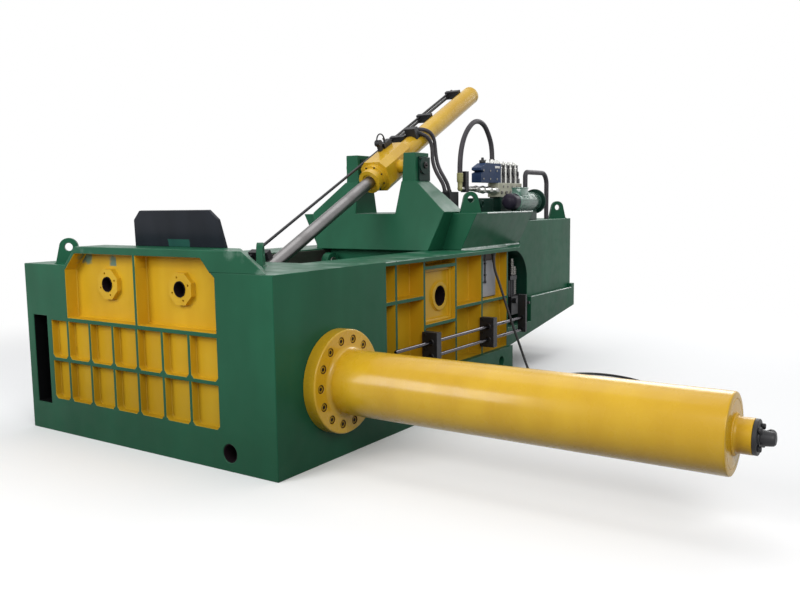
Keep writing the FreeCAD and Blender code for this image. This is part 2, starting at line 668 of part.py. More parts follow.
def yoke():
    """The welded yoke: a leaning box with two shoulders and a window, and two towers on top."""
    right = [YOKE_FOOT, YOKE_SHOULDER, YOKE_NECK, (tower_edge(YOKE_NECK[1]), YOKE_NECK[1])]
    right.append((YOKE_SILL_HALF, YOKE_SILL))
    face = right + [(-x, z) for x, z in reversed(right)]
    side = [
        (yoke_front(WALL_TOP), WALL_TOP), (YOKE_REAR, WALL_TOP), (YOKE_REAR, YOKE_SHOULDER[1]),
        (YOKE_NECK_REAR, YOKE_NECK[1]), (yoke_front(YOKE_NECK[1]), YOKE_NECK[1]),
    ]
    width = (-YOKE_SHOULDER[0], YOKE_SHOULDER[0])
    box = prism_y(face, (YOKE_FRONT, YOKE_REAR)).common(prism_x(side, width))
    neck = YOKE_NECK[1]
    tower = prism_y(
        [(tower_edge(neck), neck), (TOWER_OUTER, neck), (TOWER_OUTER, TOWER_TOP), (TOWER_INNER, TOWER_TOP)],
        (TOWER_FRONT, YOKE_NECK_REAR))
    seat_y = (TOWER_FRONT + YOKE_PLATE, YOKE_NECK_REAR)
    tower = tower.cut(block((0, TOWER_OUTER), seat_y, (neck, TOWER_TOP - TOWER_CAP)))
    return joined(box, tower, mirrored(tower))


def trunnion_bearings():
    """The two bearing blocks in the towers, each with a round cap outside."""
    x = (tower_edge(YOKE_NECK[1]), TOWER_OUTER + BEARING_PROUD)
    y = (TOWER_FRONT + YOKE_PLATE, YOKE_NECK_REAR)
    body = block(x, y, (YOKE_NECK[1], TOWER_TOP - TOWER_CAP))
    cap = round_x(TRUNNION_PIN + 18, (x[1], x[1] + 16), *TRUNNION)
    bearing = joined(body, cap).cut(round_x(TRUNNION_PIN + FIT, x, *TRUNNION))
    return group([bearing, mirrored(bearing)])


def side_cylinder_flange():
    """The mounting flange with a fillet at the tube and a ring of counterbored holes."""
    back = HALF_WIDTH
    face = HALF_WIDTH + SIDE_FLANGE_THICK
    inner = TUBE + SEAT
    corners = [
        V(back, inner, 0), V(back, SIDE_FLANGE, 0), V(face - 6, SIDE_FLANGE, 0),
        V(face, SIDE_FLANGE - 6, 0), V(face, inner + WELD, 0),
    ]
    edges = [Part.makeLine(a, b) for a, b in zip(corners, corners[1:])]
    sag = WELD * (1 - math.sqrt(0.5))
    edges.append(Part.Arc(corners[-1], V(face + sag, inner + sag, 0), V(face + WELD, inner, 0)).toShape())
    edges.append(Part.makeLine(V(face + WELD, inner, 0), corners[0]))
    flange = Part.Face(Part.Wire(edges)).revolve(V(0, 0, 0), X_AXIS, 360)
    flange.translate(V(0, SIDE_AXIS_Y, SIDE_AXIS_Z))
    depth = (face - SIDE_COUNTERBORE_DEPTH, face)
    return flange.cut([round_x(SIDE_COUNTERBORE, depth, y, z) for y, z in side_bolt_places()])


def side_bolt_places():
    """Y and Z of each bolt of the side cylinder's flange."""
    places = []
    for i in range(SIDE_BOLTS):
        angle = 2 * math.pi * i / SIDE_BOLTS
        y = SIDE_AXIS_Y + SIDE_BOLT_CIRCLE * math.cos(angle)
        places.append((y, SIDE_AXIS_Z + SIDE_BOLT_CIRCLE * math.sin(angle)))
    return places


def side_flange_bolts():
    """The socket heads in the flange's counterbores."""
    face = HALF_WIDTH + SIDE_FLANGE_THICK
    heads = []
    for y, z in side_bolt_places():
        head = round_x(SIDE_BOLT_HEAD, (face - SIDE_COUNTERBORE_DEPTH, face - 4), y, z)
        heads.append(head.cut(round_x(SIDE_BOLT_HEAD * 0.55, (face - 13, face - 4), y, z)))
    return group(heads)


def side_cylinder_tube():
    """The side cylinder's tube with its gland and rear wall."""
    tube = round_x(TUBE, (HALF_WIDTH, SIDE_END), SIDE_AXIS_Y, SIDE_AXIS_Z)
    bore = round_x(BORE, (HALF_WIDTH + GLAND, SIDE_END - END_WALL), SIDE_AXIS_Y, SIDE_AXIS_Z)
    way = round_x(SIDE_ROD + FIT, (HALF_WIDTH, HALF_WIDTH + GLAND), SIDE_AXIS_Y, SIDE_AXIS_Z)
    return tube.cut([bore, way])


def side_cylinder_boss():
    """The turned boss on the tube's rear end, with a fillet at its foot."""
    foot = 24.0
    sag = foot * (1 - math.sqrt(0.5))
    start = V(SIDE_END, 0, 0)
    profile = [
        Part.makeLine(start, V(SIDE_END, BOSS + foot, 0)),
        Part.Arc(V(SIDE_END, BOSS + foot, 0), V(SIDE_END + sag, BOSS + sag, 0), V(SIDE_END + foot, BOSS, 0)).toShape(),
        Part.makeLine(V(SIDE_END + foot, BOSS, 0), V(SIDE_END + BOSS_LENGTH, BOSS, 0)),
        Part.makeLine(V(SIDE_END + BOSS_LENGTH, BOSS, 0), V(SIDE_END + BOSS_LENGTH, 0, 0)),
        Part.makeLine(V(SIDE_END + BOSS_LENGTH, 0, 0), start),
    ]
    boss = Part.Face(Part.Wire(profile)).revolve(V(0, 0, 0), X_AXIS, 360)
    boss.translate(V(0, SIDE_AXIS_Y, SIDE_AXIS_Z))
    return boss


def side_port_fitting():
    """The bolted flange and elbow on the boss, with a hose nozzle that points to the rear."""
    start = SIDE_END + BOSS_LENGTH
    disc = round_x(PORT_DISC, (start, start + PORT_DISC_THICK), SIDE_AXIS_Y, SIDE_AXIS_Z)
    neck = round_x(ELBOW + 8, (start + PORT_DISC_THICK, start + 62), SIDE_AXIS_Y, SIDE_AXIS_Z)
    head = Part.makeSphere(ELBOW + 8, V(start + 62, SIDE_AXIS_Y, SIDE_AXIS_Z))
    nozzle = round_y(ELBOW, (SIDE_AXIS_Y, SIDE_AXIS_Y + 95), start + 62, SIDE_AXIS_Z)
    return joined(disc, neck, head, nozzle).cut(
        round_y(ELBOW - 12, (SIDE_AXIS_Y + 20, SIDE_AXIS_Y + 95), start + 62, SIDE_AXIS_Z))


def side_ram_rod():
    """The side ram's rod and piston."""
    head = CHAMBER_HALF + SIDE_HEAD_SET + SIDE_HEAD
    end = SIDE_END - END_WALL - 30 - PISTON
    rod = round_x(SIDE_ROD, (head, end), SIDE_AXIS_Y, SIDE_AXIS_Z)
    return joined(rod, round_x(BORE - FIT, (end, end + PISTON), SIDE_AXIS_Y, SIDE_AXIS_Z))


def side_ram_head():
    """The side ram's pressing head with rounded edges."""
    half = RAM_HALF - SLIDE_GAP
    x = (CHAMBER_HALF + SIDE_HEAD_SET, CHAMBER_HALF + SIDE_HEAD_SET + SIDE_HEAD)
    y = (SIDE_AXIS_Y - half, SIDE_AXIS_Y + half)
    head = block(x, y, (BALE_FLOOR + SEAT, BALE_TOP - SLIDE_GAP))
    grooves = []
    for i in range(3):
        z = BALE_FLOOR + 150 * (i + 1)
        grooves.append(block((x[0], x[0] + 25), y, (z - 12, z + 12)))
    return head.cut(grooves)


def main_ram_head():
    """The main ram, a long box that slides under the deck."""
    half = CHAMBER_HALF - LINER - SLIDE_GAP
    return block((-half, half), (MAIN_FACE, MAIN_FACE + MAIN_LENGTH), (FLOOR + SEAT, MAIN_TOP))


def main_ram_rod():
    """The main ram's rod and piston."""
    start = MAIN_FACE + MAIN_LENGTH
    end = HOUSING_END - END_WALL - 40 - PISTON
    rod = round_y(MAIN_ROD, (start, end), 0, MAIN_AXIS_Z)
    return joined(rod, round_y(BORE - FIT, (end, end + PISTON), 0, MAIN_AXIS_Z))


def main_cylinder_tube():
    """The main cylinder in the rear housing, with its gland, rear wall and rear cap."""
    tube = round_y(TUBE, (WALL_END, HOUSING_END), 0, MAIN_AXIS_Z)
    bore = round_y(BORE, (WALL_END + GLAND, HOUSING_END - END_WALL), 0, MAIN_AXIS_Z)
    way = round_y(MAIN_ROD + FIT, (WALL_END, WALL_END + GLAND), 0, MAIN_AXIS_Z)
    cap = round_y(TUBE + 60, (HOUSING_END, HOUSING_END + 40), 0, MAIN_AXIS_Z)
    boss = round_y(70, (HOUSING_END + 40, HOUSING_END + 75), 0, MAIN_AXIS_Z)
    return joined(tube, cap, boss).cut([bore, way])


def lid():
    """The lid: a plate with long ribs, a front rib and two hinge ears."""
    top = LID_LOW + LID_PLATE
    plate = block((-LID_HALF, LID_HALF), (LID_FRONT, LID_REAR), (LID_LOW, top))
    parts = [block((-LID_HALF, LID_HALF), (LID_FRONT, LID_FRONT + RIB), (top, top + LID_RIB))]
    for x in (-LID_HALF, -300, 300 - RIB, LID_HALF - RIB):
        parts.append(block((x, x + RIB), (LID_FRONT, LID_REAR), (top, top + LID_RIB)))
    ear = [
        (LID_REAR - 3 * HINGE_BARREL, top), (LID_REAR, top), (HINGE[0] + HINGE_BARREL * 0.5, HINGE[1] - HINGE_BARREL * 0.8),
        (HINGE[0], HINGE[1]), (HINGE[0] - HINGE_BARREL * 0.5, HINGE[1] + HINGE_BARREL * 0.8),
    ]
    for x in ((-LID_HALF + RIB, -LID_HALF + 100), (LID_HALF - 100, LID_HALF - RIB)):
        parts.append(prism_x(ear, x))
        parts.append(round_x(HINGE_BARREL, x, *HINGE))
    return joined(plate, *parts).cut(round_x(HINGE_PIN + FIT, (-LID_HALF, LID_HALF), *HINGE)).removeSplitter()


def lid_lugs():
    """The two lugs on the lid that hold the cylinder's eye between them."""
    top = LID_LOW + LID_PLATE
    inner = EYE_HALF + LUG_GAP
    head = 90.0
    outline = [
        (LID_FRONT + RIB, top), (EYE[0] + 170, top), (EYE[0] + 75, EYE[1] + 50), (EYE[0] - 75, EYE[1] + 50),
    ]
    x = (inner, inner + LUG)
    lug = joined(prism_x(outline, x), round_x(head, x, *EYE)).cut(round_x(EYE_PIN + FIT, x, *EYE))
    return group([lug, mirrored(lug)])


def hinge_pins():
    """The two pins that carry the lid in the side walls."""
    pin = round_x(HINGE_PIN, (LID_HALF - 110, CHAMBER_HALF + 60), *HINGE)
    return group([pin, mirrored(pin)])


def eye_pin():
    """The pin across the lid's lugs."""
    half = EYE_HALF + LUG_GAP + LUG
    return round_x(EYE_PIN, (-half, half), *EYE)


def on_lid_axis(shape):
    """Move a shape from the Y axis to the lid cylinder's axis, with its trunnion at zero."""
    shape.rotate(V(0, 0, 0), X_AXIS, LID_RISE)
    shape.translate(V(0, *TRUNNION))
    return shape


def octagon_y(half, corner, y):
    """An eight-sided bar along Y."""
    flat = half - corner
    outline = [
        (-flat, -half), (flat, -half), (half, -flat), (half, flat),
        (flat, half), (-flat, half), (-half, flat), (-half, -flat),
    ]
    return prism_y(outline, y)


def lid_cylinder_tube():
    """The lid cylinder's tube with its rear wall."""
    tube = round_y(LID_TUBE, (BLOCK_REAR, LID_TUBE_END), 0, 0)
    return on_lid_axis(tube.cut(round_y(LID_BORE, (BLOCK_REAR, LID_TUBE_END - 40), 0, 0)))


def nozzle(points, radius, length):
    """A round nozzle behind a hose's end, from the end point and the one after it."""
    start = V(*points[0])
    heading = (V(*points[1]) - start).normalize()
    return Part.makeCylinder(radius, length, start - heading * length, heading)


def lid_hose_block():
    """The block on the lid cylinder's tube with a nozzle for each hose."""
    body = block(PORT_BLOCK_X, PORT_BLOCK, (60, PORT_BLOCK_TOP)).cut(round_y(LID_TUBE + SEAT, PORT_BLOCK, 0, 0))
    return joined(on_lid_axis(body), *[nozzle(points, LID_HOSE + 3, NOZZLE) for points in LID_HOSE_POINTS])


def lid_trunnion_block():
    """The faceted head of the lid cylinder with its trunnion pins and nose."""
    body = octagon_y(BLOCK_HALF, BLOCK_CORNER, (BLOCK_FRONT, BLOCK_REAR))
    pin = round_x(TRUNNION_PIN, (-TOWER_OUTER, TOWER_OUTER), 0, 0)
    nose = round_y(NOSE, (NOSE_FRONT, BLOCK_FRONT), 0, 0)
    collar = round_y(NOSE + 16, (BLOCK_FRONT - 40, BLOCK_FRONT), 0, 0)
    bore = round_y(LID_ROD + FIT, (NOSE_FRONT, BLOCK_REAR), 0, 0)
    mouth = round_y(LID_ROD + 18, (NOSE_FRONT, NOSE_FRONT + 12), 0, 0)
    return on_lid_axis(joined(body, pin, nose, collar).cut([bore, mouth]))


def stroke_guides():
    """The brackets and rail on the lid cylinder that guide the stroke bar."""
    half = STROKE_BAR + 12
    top = STROKE_BAR_RISE + half
    solids = []
    for y in GUIDE_PLACES:
        span = (y, y + GUIDE_LENGTH)
        foot = block((STROKE_BAR_X - half, -40), span, (30, top)).cut([
            round_y(LID_TUBE + SEAT, span, 0, 0),
            round_y(STROKE_BAR + FIT, span, STROKE_BAR_X, STROKE_BAR_RISE),
        ])
        solids.append(foot)
    rail_z = (STROKE_BAR_RISE - half - 14, STROKE_BAR_RISE - half)
    rail = block((STROKE_BAR_X - 16, STROKE_BAR_X + 16), (GUIDE_PLACES[0], GUIDE_PLACES[-1] + GUIDE_LENGTH), rail_z)
    return on_lid_axis(joined(rail, *solids))


def lid_rod():
    """The lid cylinder's rod with its eye and piston."""
    rod = round_y(LID_ROD, (-LID_LENGTH + EYE_RADIUS * 0.8, BLOCK_REAR + 30), 0, 0)
    eye = round_x(EYE_RADIUS, (-EYE_HALF, EYE_HALF), -LID_LENGTH, 0)
    piston = round_y(LID_BORE - FIT, (BLOCK_REAR + 30, BLOCK_REAR + 110), 0, 0)
    body = joined(rod, eye, piston)
    return on_lid_axis(body.cut(round_x(EYE_BORE, (-EYE_HALF, EYE_HALF), -LID_LENGTH, 0)))


def stroke_bar():
    """The stroke bar beside the lid's rod, with the clamp that ties it to the rod."""
    start = -LID_LENGTH + 30
    bar = round_y(STROKE_BAR, (start, LID_TUBE_END - 60), STROKE_BAR_X, STROKE_BAR_RISE)
    clamp_y = (start + 130, start + 180)
    clamp = block((STROKE_BAR_X - 26, -10), clamp_y, (-20, STROKE_BAR_RISE + 26))
    clamp = clamp.cut(round_y(LID_ROD + SEAT, clamp_y, 0, 0))
    return on_lid_axis(joined(clamp, bar))


def guide_blocks():
    """The two dark blocks on the right wall's ribs that guide the trip rods."""
    blocks = []
    for y in (WALL_RIBS[1], WALL_RIBS[3]):
        span = (y - RIB / 2 - 30, y - RIB / 2 - 30 + GUIDE_THICK)
        body = block((RIB_EDGE, GUIDE_OUTER), span, (GUIDE_LOW, GUIDE_HIGH))
        blocks.append(body.cut([round_y(TRIP_ROD + FIT, span, TRIP_X, z) for z in TRIP_Z]))
    return group(blocks)


def trip_rods():
    """The two polished rods that slide along the right wall."""
    return group([round_y(TRIP_ROD, (TRIP_FRONT, TRIP_REAR), TRIP_X, z) for z in TRIP_Z])


def trip_bracket():
    """The dark bracket that ties the trip rods' rear ends."""
    body = block((TRIP_X - 39, TRIP_X + 39), (TRIP_REAR - 30, TRIP_REAR), (TRIP_Z[0] - 25, TRIP_Z[1] + 210))
    return body.cut([round_y(TRIP_ROD + FIT, (TRIP_REAR - 30, TRIP_REAR), TRIP_X, z) for z in TRIP_Z])


def valve_stand():
    """The blocks that carry the valves over the rear housing and the right top box."""
    x = (EQUIPMENT_X - MANIFOLD_HALF, EQUIPMENT_X + MANIFOLD_HALF)
    rear = block(x, (MANIFOLD_Y[0] + 40, MANIFOLD_Y[1] - 40), (HOUSING_TOP, MANIFOLD_Z[0]))
    front = block(x, (VALVE_Y[0] - 90, HOUSING_STEP - 20), (TOP_BOX_TOP, MANIFOLD_Z[0] - 10))
    cup = round_x(34, (x[1], x[1] + 16), VALVE_Y[0] - 10, TOP_BOX_TOP + 78)
    return group([rear, joined(front, cup).cut(round_x(20, (x[1] - 20, x[1] + 16), VALVE_Y[0] - 10, TOP_BOX_TOP + 78))])


def manifold():
    """The pale manifold block."""
    return block((EQUIPMENT_X - MANIFOLD_HALF, EQUIPMENT_X + MANIFOLD_HALF), MANIFOLD_Y, MANIFOLD_Z)


def valve_body():
    """The large painted valve with its forked front end and the hose's ferrule on top."""
    x = (EQUIPMENT_X - VALVE_HALF, EQUIPMENT_X + VALVE_HALF)
    low, top = MANIFOLD_Z[1], VALVE_TOP
    nose = 60.0
    outline = [
        (VALVE_Y[0], low), (VALVE_Y[1], low), (VALVE_Y[1], top), (VALVE_Y[0] + 2 * nose, top),
        (VALVE_Y[0], top - 0.8 * nose), (VALVE_Y[0], top - 1.2 * nose), (VALVE_Y[0] + nose, top - 1.4 * nose),
        (VALVE_Y[0], top - 1.7 * nose),
    ]
    ferrule = round_z(HOSE + 4, (top, HOSE_END), HOSE_X, HOSE_Y[1])
    return joined(prism_x(outline, x), ferrule)


def solenoid_valves():
    """A row of solenoid valves, each with a round coil and a knob."""
    valves = []
    start = VALVE_Y[1] + 12
    pitch = (MANIFOLD_Y[1] - start) / SOLENOIDS
    width = pitch - 8
    x = (EQUIPMENT_X - VALVE_HALF + 6, EQUIPMENT_X + VALVE_HALF - 6)
    for i in range(SOLENOIDS):
        y = start + pitch * i
        middle = y + width / 2
        body = block(x, (y, y + width), (MANIFOLD_Z[1], COIL_TOP - 100))
        coil = round_z(width * 0.45, (COIL_TOP - 100, COIL_TOP - 22), EQUIPMENT_X, middle)
        valves.append(joined(body, coil, round_z(width * 0.25, (COIL_TOP - 22, COIL_TOP), EQUIPMENT_X, middle)))
    return group(valves)


def pipe_unions():
    """The steel pipes and unions between the large hose's foot and the manifold."""
    end = MANIFOLD_Y[0]
    solids = []
    for x, z, start in ((HOSE_X, RUN_Z, VALVE_Y[0] - 95), (HOSE_X + 76, RUN_Z - 16, VALVE_Y[0] - 35)):
        run = round_y(RUN + 4, (start, end), x, z)
        nuts = [round_y(NUT, (y, y + 48), x, z) for y in (end - 48, end - 190, end - 330)]
        solids.append(joined(run, *nuts))
    return solids


def line_valve():
    """The dark valve on the pipe beside the large hose's foot, with a small fitting on its top."""
    y = (HOSE_Y[0] + 62, HOSE_Y[0] + 122)
    body = block((HOSE_X - 28, HOSE_X + 28), y, (RUN_Z - 34, FERRULE_TOP + 18))
    return body.cut(round_y(RUN + SEAT, y, HOSE_X, RUN_Z))


def hose_foot():
    """The ferrule and elbow at the large hose's front foot."""
    y = HOSE_Y[0]
    ferrule = round_z(HOSE + 6, (FERRULE_TOP - 85, FERRULE_TOP), HOSE_X, y)
    neck = round_z(RUN + 3, (RUN_Z, FERRULE_TOP - 85), HOSE_X, y)
    elbow = Part.makeSphere(RUN + 6, V(HOSE_X, y, RUN_Z))
    return joined(ferrule, neck, elbow, round_y(RUN, (y, VALVE_Y[0] - 95), HOSE_X, RUN_Z))


def rounded_path(points, share=0.45):
    """A wire of straight runs and tangent arcs through the given points, with its least radius."""
    edges = []
    least = None
    start = points[0]
    for before, corner, after in zip(points, points[1:], points[2:]):
        inward = (before - corner).normalize()
        outward = (after - corner).normalize()
        turn = math.pi - inward.getAngle(outward)
        reach = share * min((before - corner).Length, (after - corner).Length)
        radius = reach / math.tan(turn / 2)
        least = radius if least is None else min(least, radius)
        first = corner + inward * reach
        last = corner + outward * reach
        bisector = (inward + outward).normalize()
        middle = corner + bisector * (radius / math.cos(turn / 2) - radius)
        edges.append(Part.makeLine(start, first))
        edges.append(Part.Arc(first, middle, last).toShape())
        start = last
    edges.append(Part.makeLine(start, points[-1]))
    return Part.Wire(edges), least


def tube_along(wire, radius):
    """A round tube swept along a wire."""
    start = wire.Edges[0].firstVertex().Point
    tangent = wire.Edges[0].tangentAt(wire.Edges[0].FirstParameter)
    ring = Part.Wire([Part.makeCircle(radius, start, tangent)])
    return wire.makePipeShell([ring], True, False)


def cord(name, points, radius):
    """A cord's tube through its points, with its least radius, length and volume printed."""
    wire, least = rounded_path(points)
    tube = tube_along(wire, radius)
    ideal = math.pi * radius ** 2 * wire.Length
    print(name, "least radius", round(least), "length", round(wire.Length),
          "volume ratio", round(tube.Volume / ideal, 5))
    return tube


def pressure_hose():
    """The large hose that arches from its foot to the valve."""
    arch = ((0, 2060), (52, 2230), (152, 2355), (300, 2444), (468, 2430), (580, 2325))
    points = [V(HOSE_X, HOSE_Y[0], FERRULE_TOP)]
    points += [V(HOSE_X, HOSE_Y[0] + y, z) for y, z in arch]
    points += [V(HOSE_X, HOSE_Y[1], HOSE_END + 115), V(HOSE_X, HOSE_Y[1], HOSE_END)]
    return cord("pressure_hose", points, HOSE)


def rigid_pipe():
    """The steel pipe that rises from the motor and comes down to the housing's top."""
    front = MOTOR_Y[1] - 100
    points = [
        V(PIPE_X, front, PIPE_BOSS_TOP), V(PIPE_X, front, PIPE_TOP), V(PIPE_X, PIPE_REAR, PIPE_TOP),
        V(PIPE_X, PIPE_REAR, HOUSING_TOP),
    ]
    wire, _ = rounded_path(points, 0.25)
    return tube_along(wire, PIPE)


def motor():
    """The round motor lying on the housing, with its end flange, terminal box, pipe boss and foot."""
    body = round_y(MOTOR, MOTOR_Y, MOTOR_X, MOTOR_Z)
    cowl = round_y(MOTOR - 14, (MOTOR_Y[0] - 60, MOTOR_Y[0]), MOTOR_X, MOTOR_Z)
    flange = round_y(MOTOR_FLANGE, (MOTOR_Y[1], MOTOR_Y[1] + 36), MOTOR_X, MOTOR_Z)
    box_x = (MOTOR_X - MOTOR * 0.3, MOTOR_X + MOTOR * 0.75)
    box = block(box_x, (MOTOR_Y[0] + 90, MOTOR_Y[0] + 250), (MOTOR_Z, MOTOR_Z + MOTOR + 45))
    boss = round_z(PIPE + 8, (MOTOR_Z, PIPE_BOSS_TOP), PIPE_X, MOTOR_Y[1] - 100)
    foot_x = (MOTOR_X - MOTOR * 0.55, MOTOR_X + MOTOR * 0.55)
    foot = block(foot_x, (HOUSING_STEP + 60, MOTOR_Y[1] - 40), (HOUSING_TOP, MOTOR_Z))
    return joined(body, cowl, flange, box, boss, foot)


def bay_valves():
    """The valve block in the service bay, with three steel tubes and a lever."""
    body = block((BAY_INNER, BAY_VALVE_X), BAY_VALVE_Y, BAY_VALVE_Z)
    top = BAY_VALVE_Z[1] + 160
    header_y = (BAY_VALVE_Y[0] + 5, BAY_VALVE_Y[0] + 147)
    parts = [block((BAY_VALVE_X - 90, BAY_VALVE_X - 15), header_y, (top, top + 40))]
    for i in range(3):
        parts.append(round_z(17, (BAY_VALVE_Z[1], top), BAY_VALVE_X - 50, header_y[0] + 21 + 50 * i))
    parts.append(round_x(26, (BAY_VALVE_X, BAY_VALVE_X + 45), header_y[0] + 25, BAY_VALVE_Z[1] - 40))
    parts.append(round_x(14, (BAY_VALVE_X, BAY_VALVE_X + 90), BAY_VALVE_Y[1] - 60, BAY_VALVE_Z[1] - 75))
    return joined(body, *parts)


def bay_hoses():
    """Two ribbed hoses that rise from the valve block to the bay's round roof."""
    hoses = []
    for y in (BAY_VALVE_Y[1] - 100, BAY_VALVE_Y[1] - 44):
        reach = y + BAY_HOSE + 6 - (BAY_REAR - BAY_CORNER)
        roof = BAY_HIGH - BAY_CORNER + math.sqrt(BAY_CORNER ** 2 - reach ** 2) - 2
        z = BAY_VALVE_Z[1]
        profile = [V(0, 0, z)]
        while z < roof - BAY_HOSE_PITCH:
            rib = BAY_HOSE + 6
            profile += [V(BAY_HOSE, 0, z), V(rib, 0, z + 6), V(rib, 0, z + 12), V(BAY_HOSE, 0, z + 18)]
            z += BAY_HOSE_PITCH
        profile += [V(BAY_HOSE, 0, roof), V(0, 0, roof)]
        hose = Part.Face(Part.makePolygon(profile + profile[:1])).revolve(V(0, 0, 0), Z_AXIS, 360)
        hose.translate(V(BAY_VALVE_X - 90, y, 0))
        hoses.append(hose)
    return group(hoses)


def limit_switches():
    """The switch box on the trunnion block's top and the post beside it with its round head."""
    flat = BLOCK_HALF - BLOCK_CORNER
    x = (-flat + 2, -flat + 52)
    low = BLOCK_HALF + SEAT
    post = joined(
        block((x[0] + 10, x[1] - 10), (POST[0] - 20, POST[0] + 20), (low, POST[1])),
        round_x(30, x, *POST))
    box = block(x, (POST[0] + 45, BLOCK_REAR - 10), (low, low + 48))
    return [on_lid_axis(post), on_lid_axis(box)]


def cable_gland():
    """The gland under the wall's flange that the cable comes out of."""
    top = WALL_TOP - FLANGE
    nut = prism_z(
        [(CABLE_GLAND[0] + 22 * math.cos(a), CABLE_GLAND[1] + 22 * math.sin(a))
         for a in [math.pi / 3 * i for i in range(6)]],
        (top - 18, top))
    return joined(nut, round_z(16, (top - 34, top - 18), *CABLE_GLAND))


def cable_points():
    """The free cable's route from its gland over the floor to the coil."""
    floor = CABLE + 0.2
    top = WALL_TOP - FLANGE - 35
    outer = COIL_MEAN + COIL_STEP
    edge = HALF_WIDTH
    return [
        V(*CABLE_GLAND, top), V(edge - 42, 2358, 1085), V(edge - 18, 2388, 985), V(edge + 28, 2404, 835),
        V(edge + 76, 2424, 662), V(edge + 102, 2492, 500), V(edge + 114, 2578, 350), V(edge + 118, 2700, 165),
        V(edge + 122, 2800, 50), V(edge + 146, 2925, floor), V(edge + 190, 3080, floor),
        V(edge + 272, 3245, floor), V(edge + 410, 3380, floor), V(edge + 595, 3424, floor),
        V(edge + 800, 3386, floor), V(edge + 980, 3290, floor), V(edge + 1105, 3130, floor),
        V(edge + 1163, 2950, floor), V(edge + 1158, 2760, floor), V(COIL_CENTRE[0] + outer, COIL_CENTRE[1] + 240, floor),
        V(COIL_CENTRE[0] + outer, COIL_CENTRE[1] + 2 * CABLE, floor),
    ]


def coil_state(turns):
    """Place and heading on the coil after a number of turns, in two layers."""
    pitch = 2 * CABLE + 0.6
    inward = COIL_TURNS / 2 - 0.25
    outer = COIL_MEAN + COIL_STEP
    if turns <= inward:
        radius = outer - COIL_STEP * turns
        height = 0.0
    elif turns <= inward + 0.5:
        radius = outer - COIL_STEP * inward
        height = pitch * (turns - inward) / 0.5
    else:
        radius = outer - COIL_STEP * (COIL_TURNS - turns)
        height = pitch
    angle = -2 * math.pi * turns
    place = V(COIL_CENTRE[0] + radius * math.cos(angle), COIL_CENTRE[1] + radius * math.sin(angle),
              CABLE + 0.2 + height)
    return place, V(math.sin(angle), -math.cos(angle), 0)


def biarc(a, ta, b, tb):
    """Two arcs that join a to b with the headings ta and tb."""
    chord = b - a
    both = ta + tb
    square = 2 * (1 - ta.dot(tb))
    if abs(square) < 1e-9:
        reach = chord.Length / 2
    else:
        lean = chord.dot(both)
        reach = (-lean + math.sqrt(lean ** 2 + square * chord.dot(chord))) / square
    knee_a = a + ta * reach
    knee_b = b - tb * reach
    joint = (knee_a + knee_b) * 0.5
    arcs = []
    for start, knee, end in ((a, knee_a, joint), (joint, knee_b, b)):
        half = (start + end) * 0.5
        rise = (knee - half).Length
        run = (end - start).Length / 2
        sag = run * math.tan(math.atan2(rise, run) / 2)
        arcs.append(Part.Arc(start, half + (knee - half).normalize() * sag, end).toShape())
    return arcs


def coil_gap(wire):
    """The least gap between two turns of the coil, measured on points."""
    points = wire.discretize(700)
    step = wire.Length / 699
    apart = int(math.pi * CABLE * 2 / step) + 1
    least = min((a - b).Length for i, a in enumerate(points) for b in points[i + apart:])
    return least - 2 * CABLE


def cable_coil():
    """The cable's spare length, one tube that spirals in, climbs a layer and spirals out."""
    start, heading = coil_state(0)
    edges = [Part.makeLine(start - heading * 2 * CABLE, start)]
    steps = int(COIL_TURNS * 2)
    states = [coil_state(i / 2) for i in range(steps + 1)]
    for (a, ta), (b, tb) in zip(states, states[1:]):
        edges += biarc(a, ta, b, tb)
    end, heading = states[-1]
    edges.append(Part.makeLine(end, end + heading * COIL_EXIT))
    wire = Part.Wire(edges)
    coil = tube_along(wire, CABLE)
    ideal = math.pi * CABLE ** 2 * wire.Length
    print("cable_coil length", round(wire.Length), "volume ratio", round(coil.Volume / ideal, 5),
          "least gap", round(coil_gap(wire), 2))
    return coil


def cable_plug():
    """The round plug on the cable's end, with its collar and pin face."""
    end, heading = coil_state(COIL_TURNS)
    solids = []
    y = end.y + COIL_EXIT
    for radius, length in ((PLUG * 0.6, 12), (PLUG, 83), (PLUG - 4, 45)):
        solids.append(round_y(radius, (y, y + length), end.x, end.z))
        y += length
    return joined(*solids)


def lid_hoses():
    """The two hoses between the lid cylinder's block and the hose block on the top box."""
    return group([cord("lid_hose", [V(*point) for point in points], LID_HOSE) for points in LID_HOSE_POINTS])


def hose_block():
    """The dark block on the right top box where the lid cylinder's hoses end, each in a nozzle."""
    body = block(HOSE_BLOCK_X, HOSE_BLOCK_Y, (TOP_BOX_TOP, HOSE_BLOCK_TOP))
    return joined(body, *[nozzle(points[::-1], LID_HOSE + 3, NOZZLE) for points in LID_HOSE_POINTS])


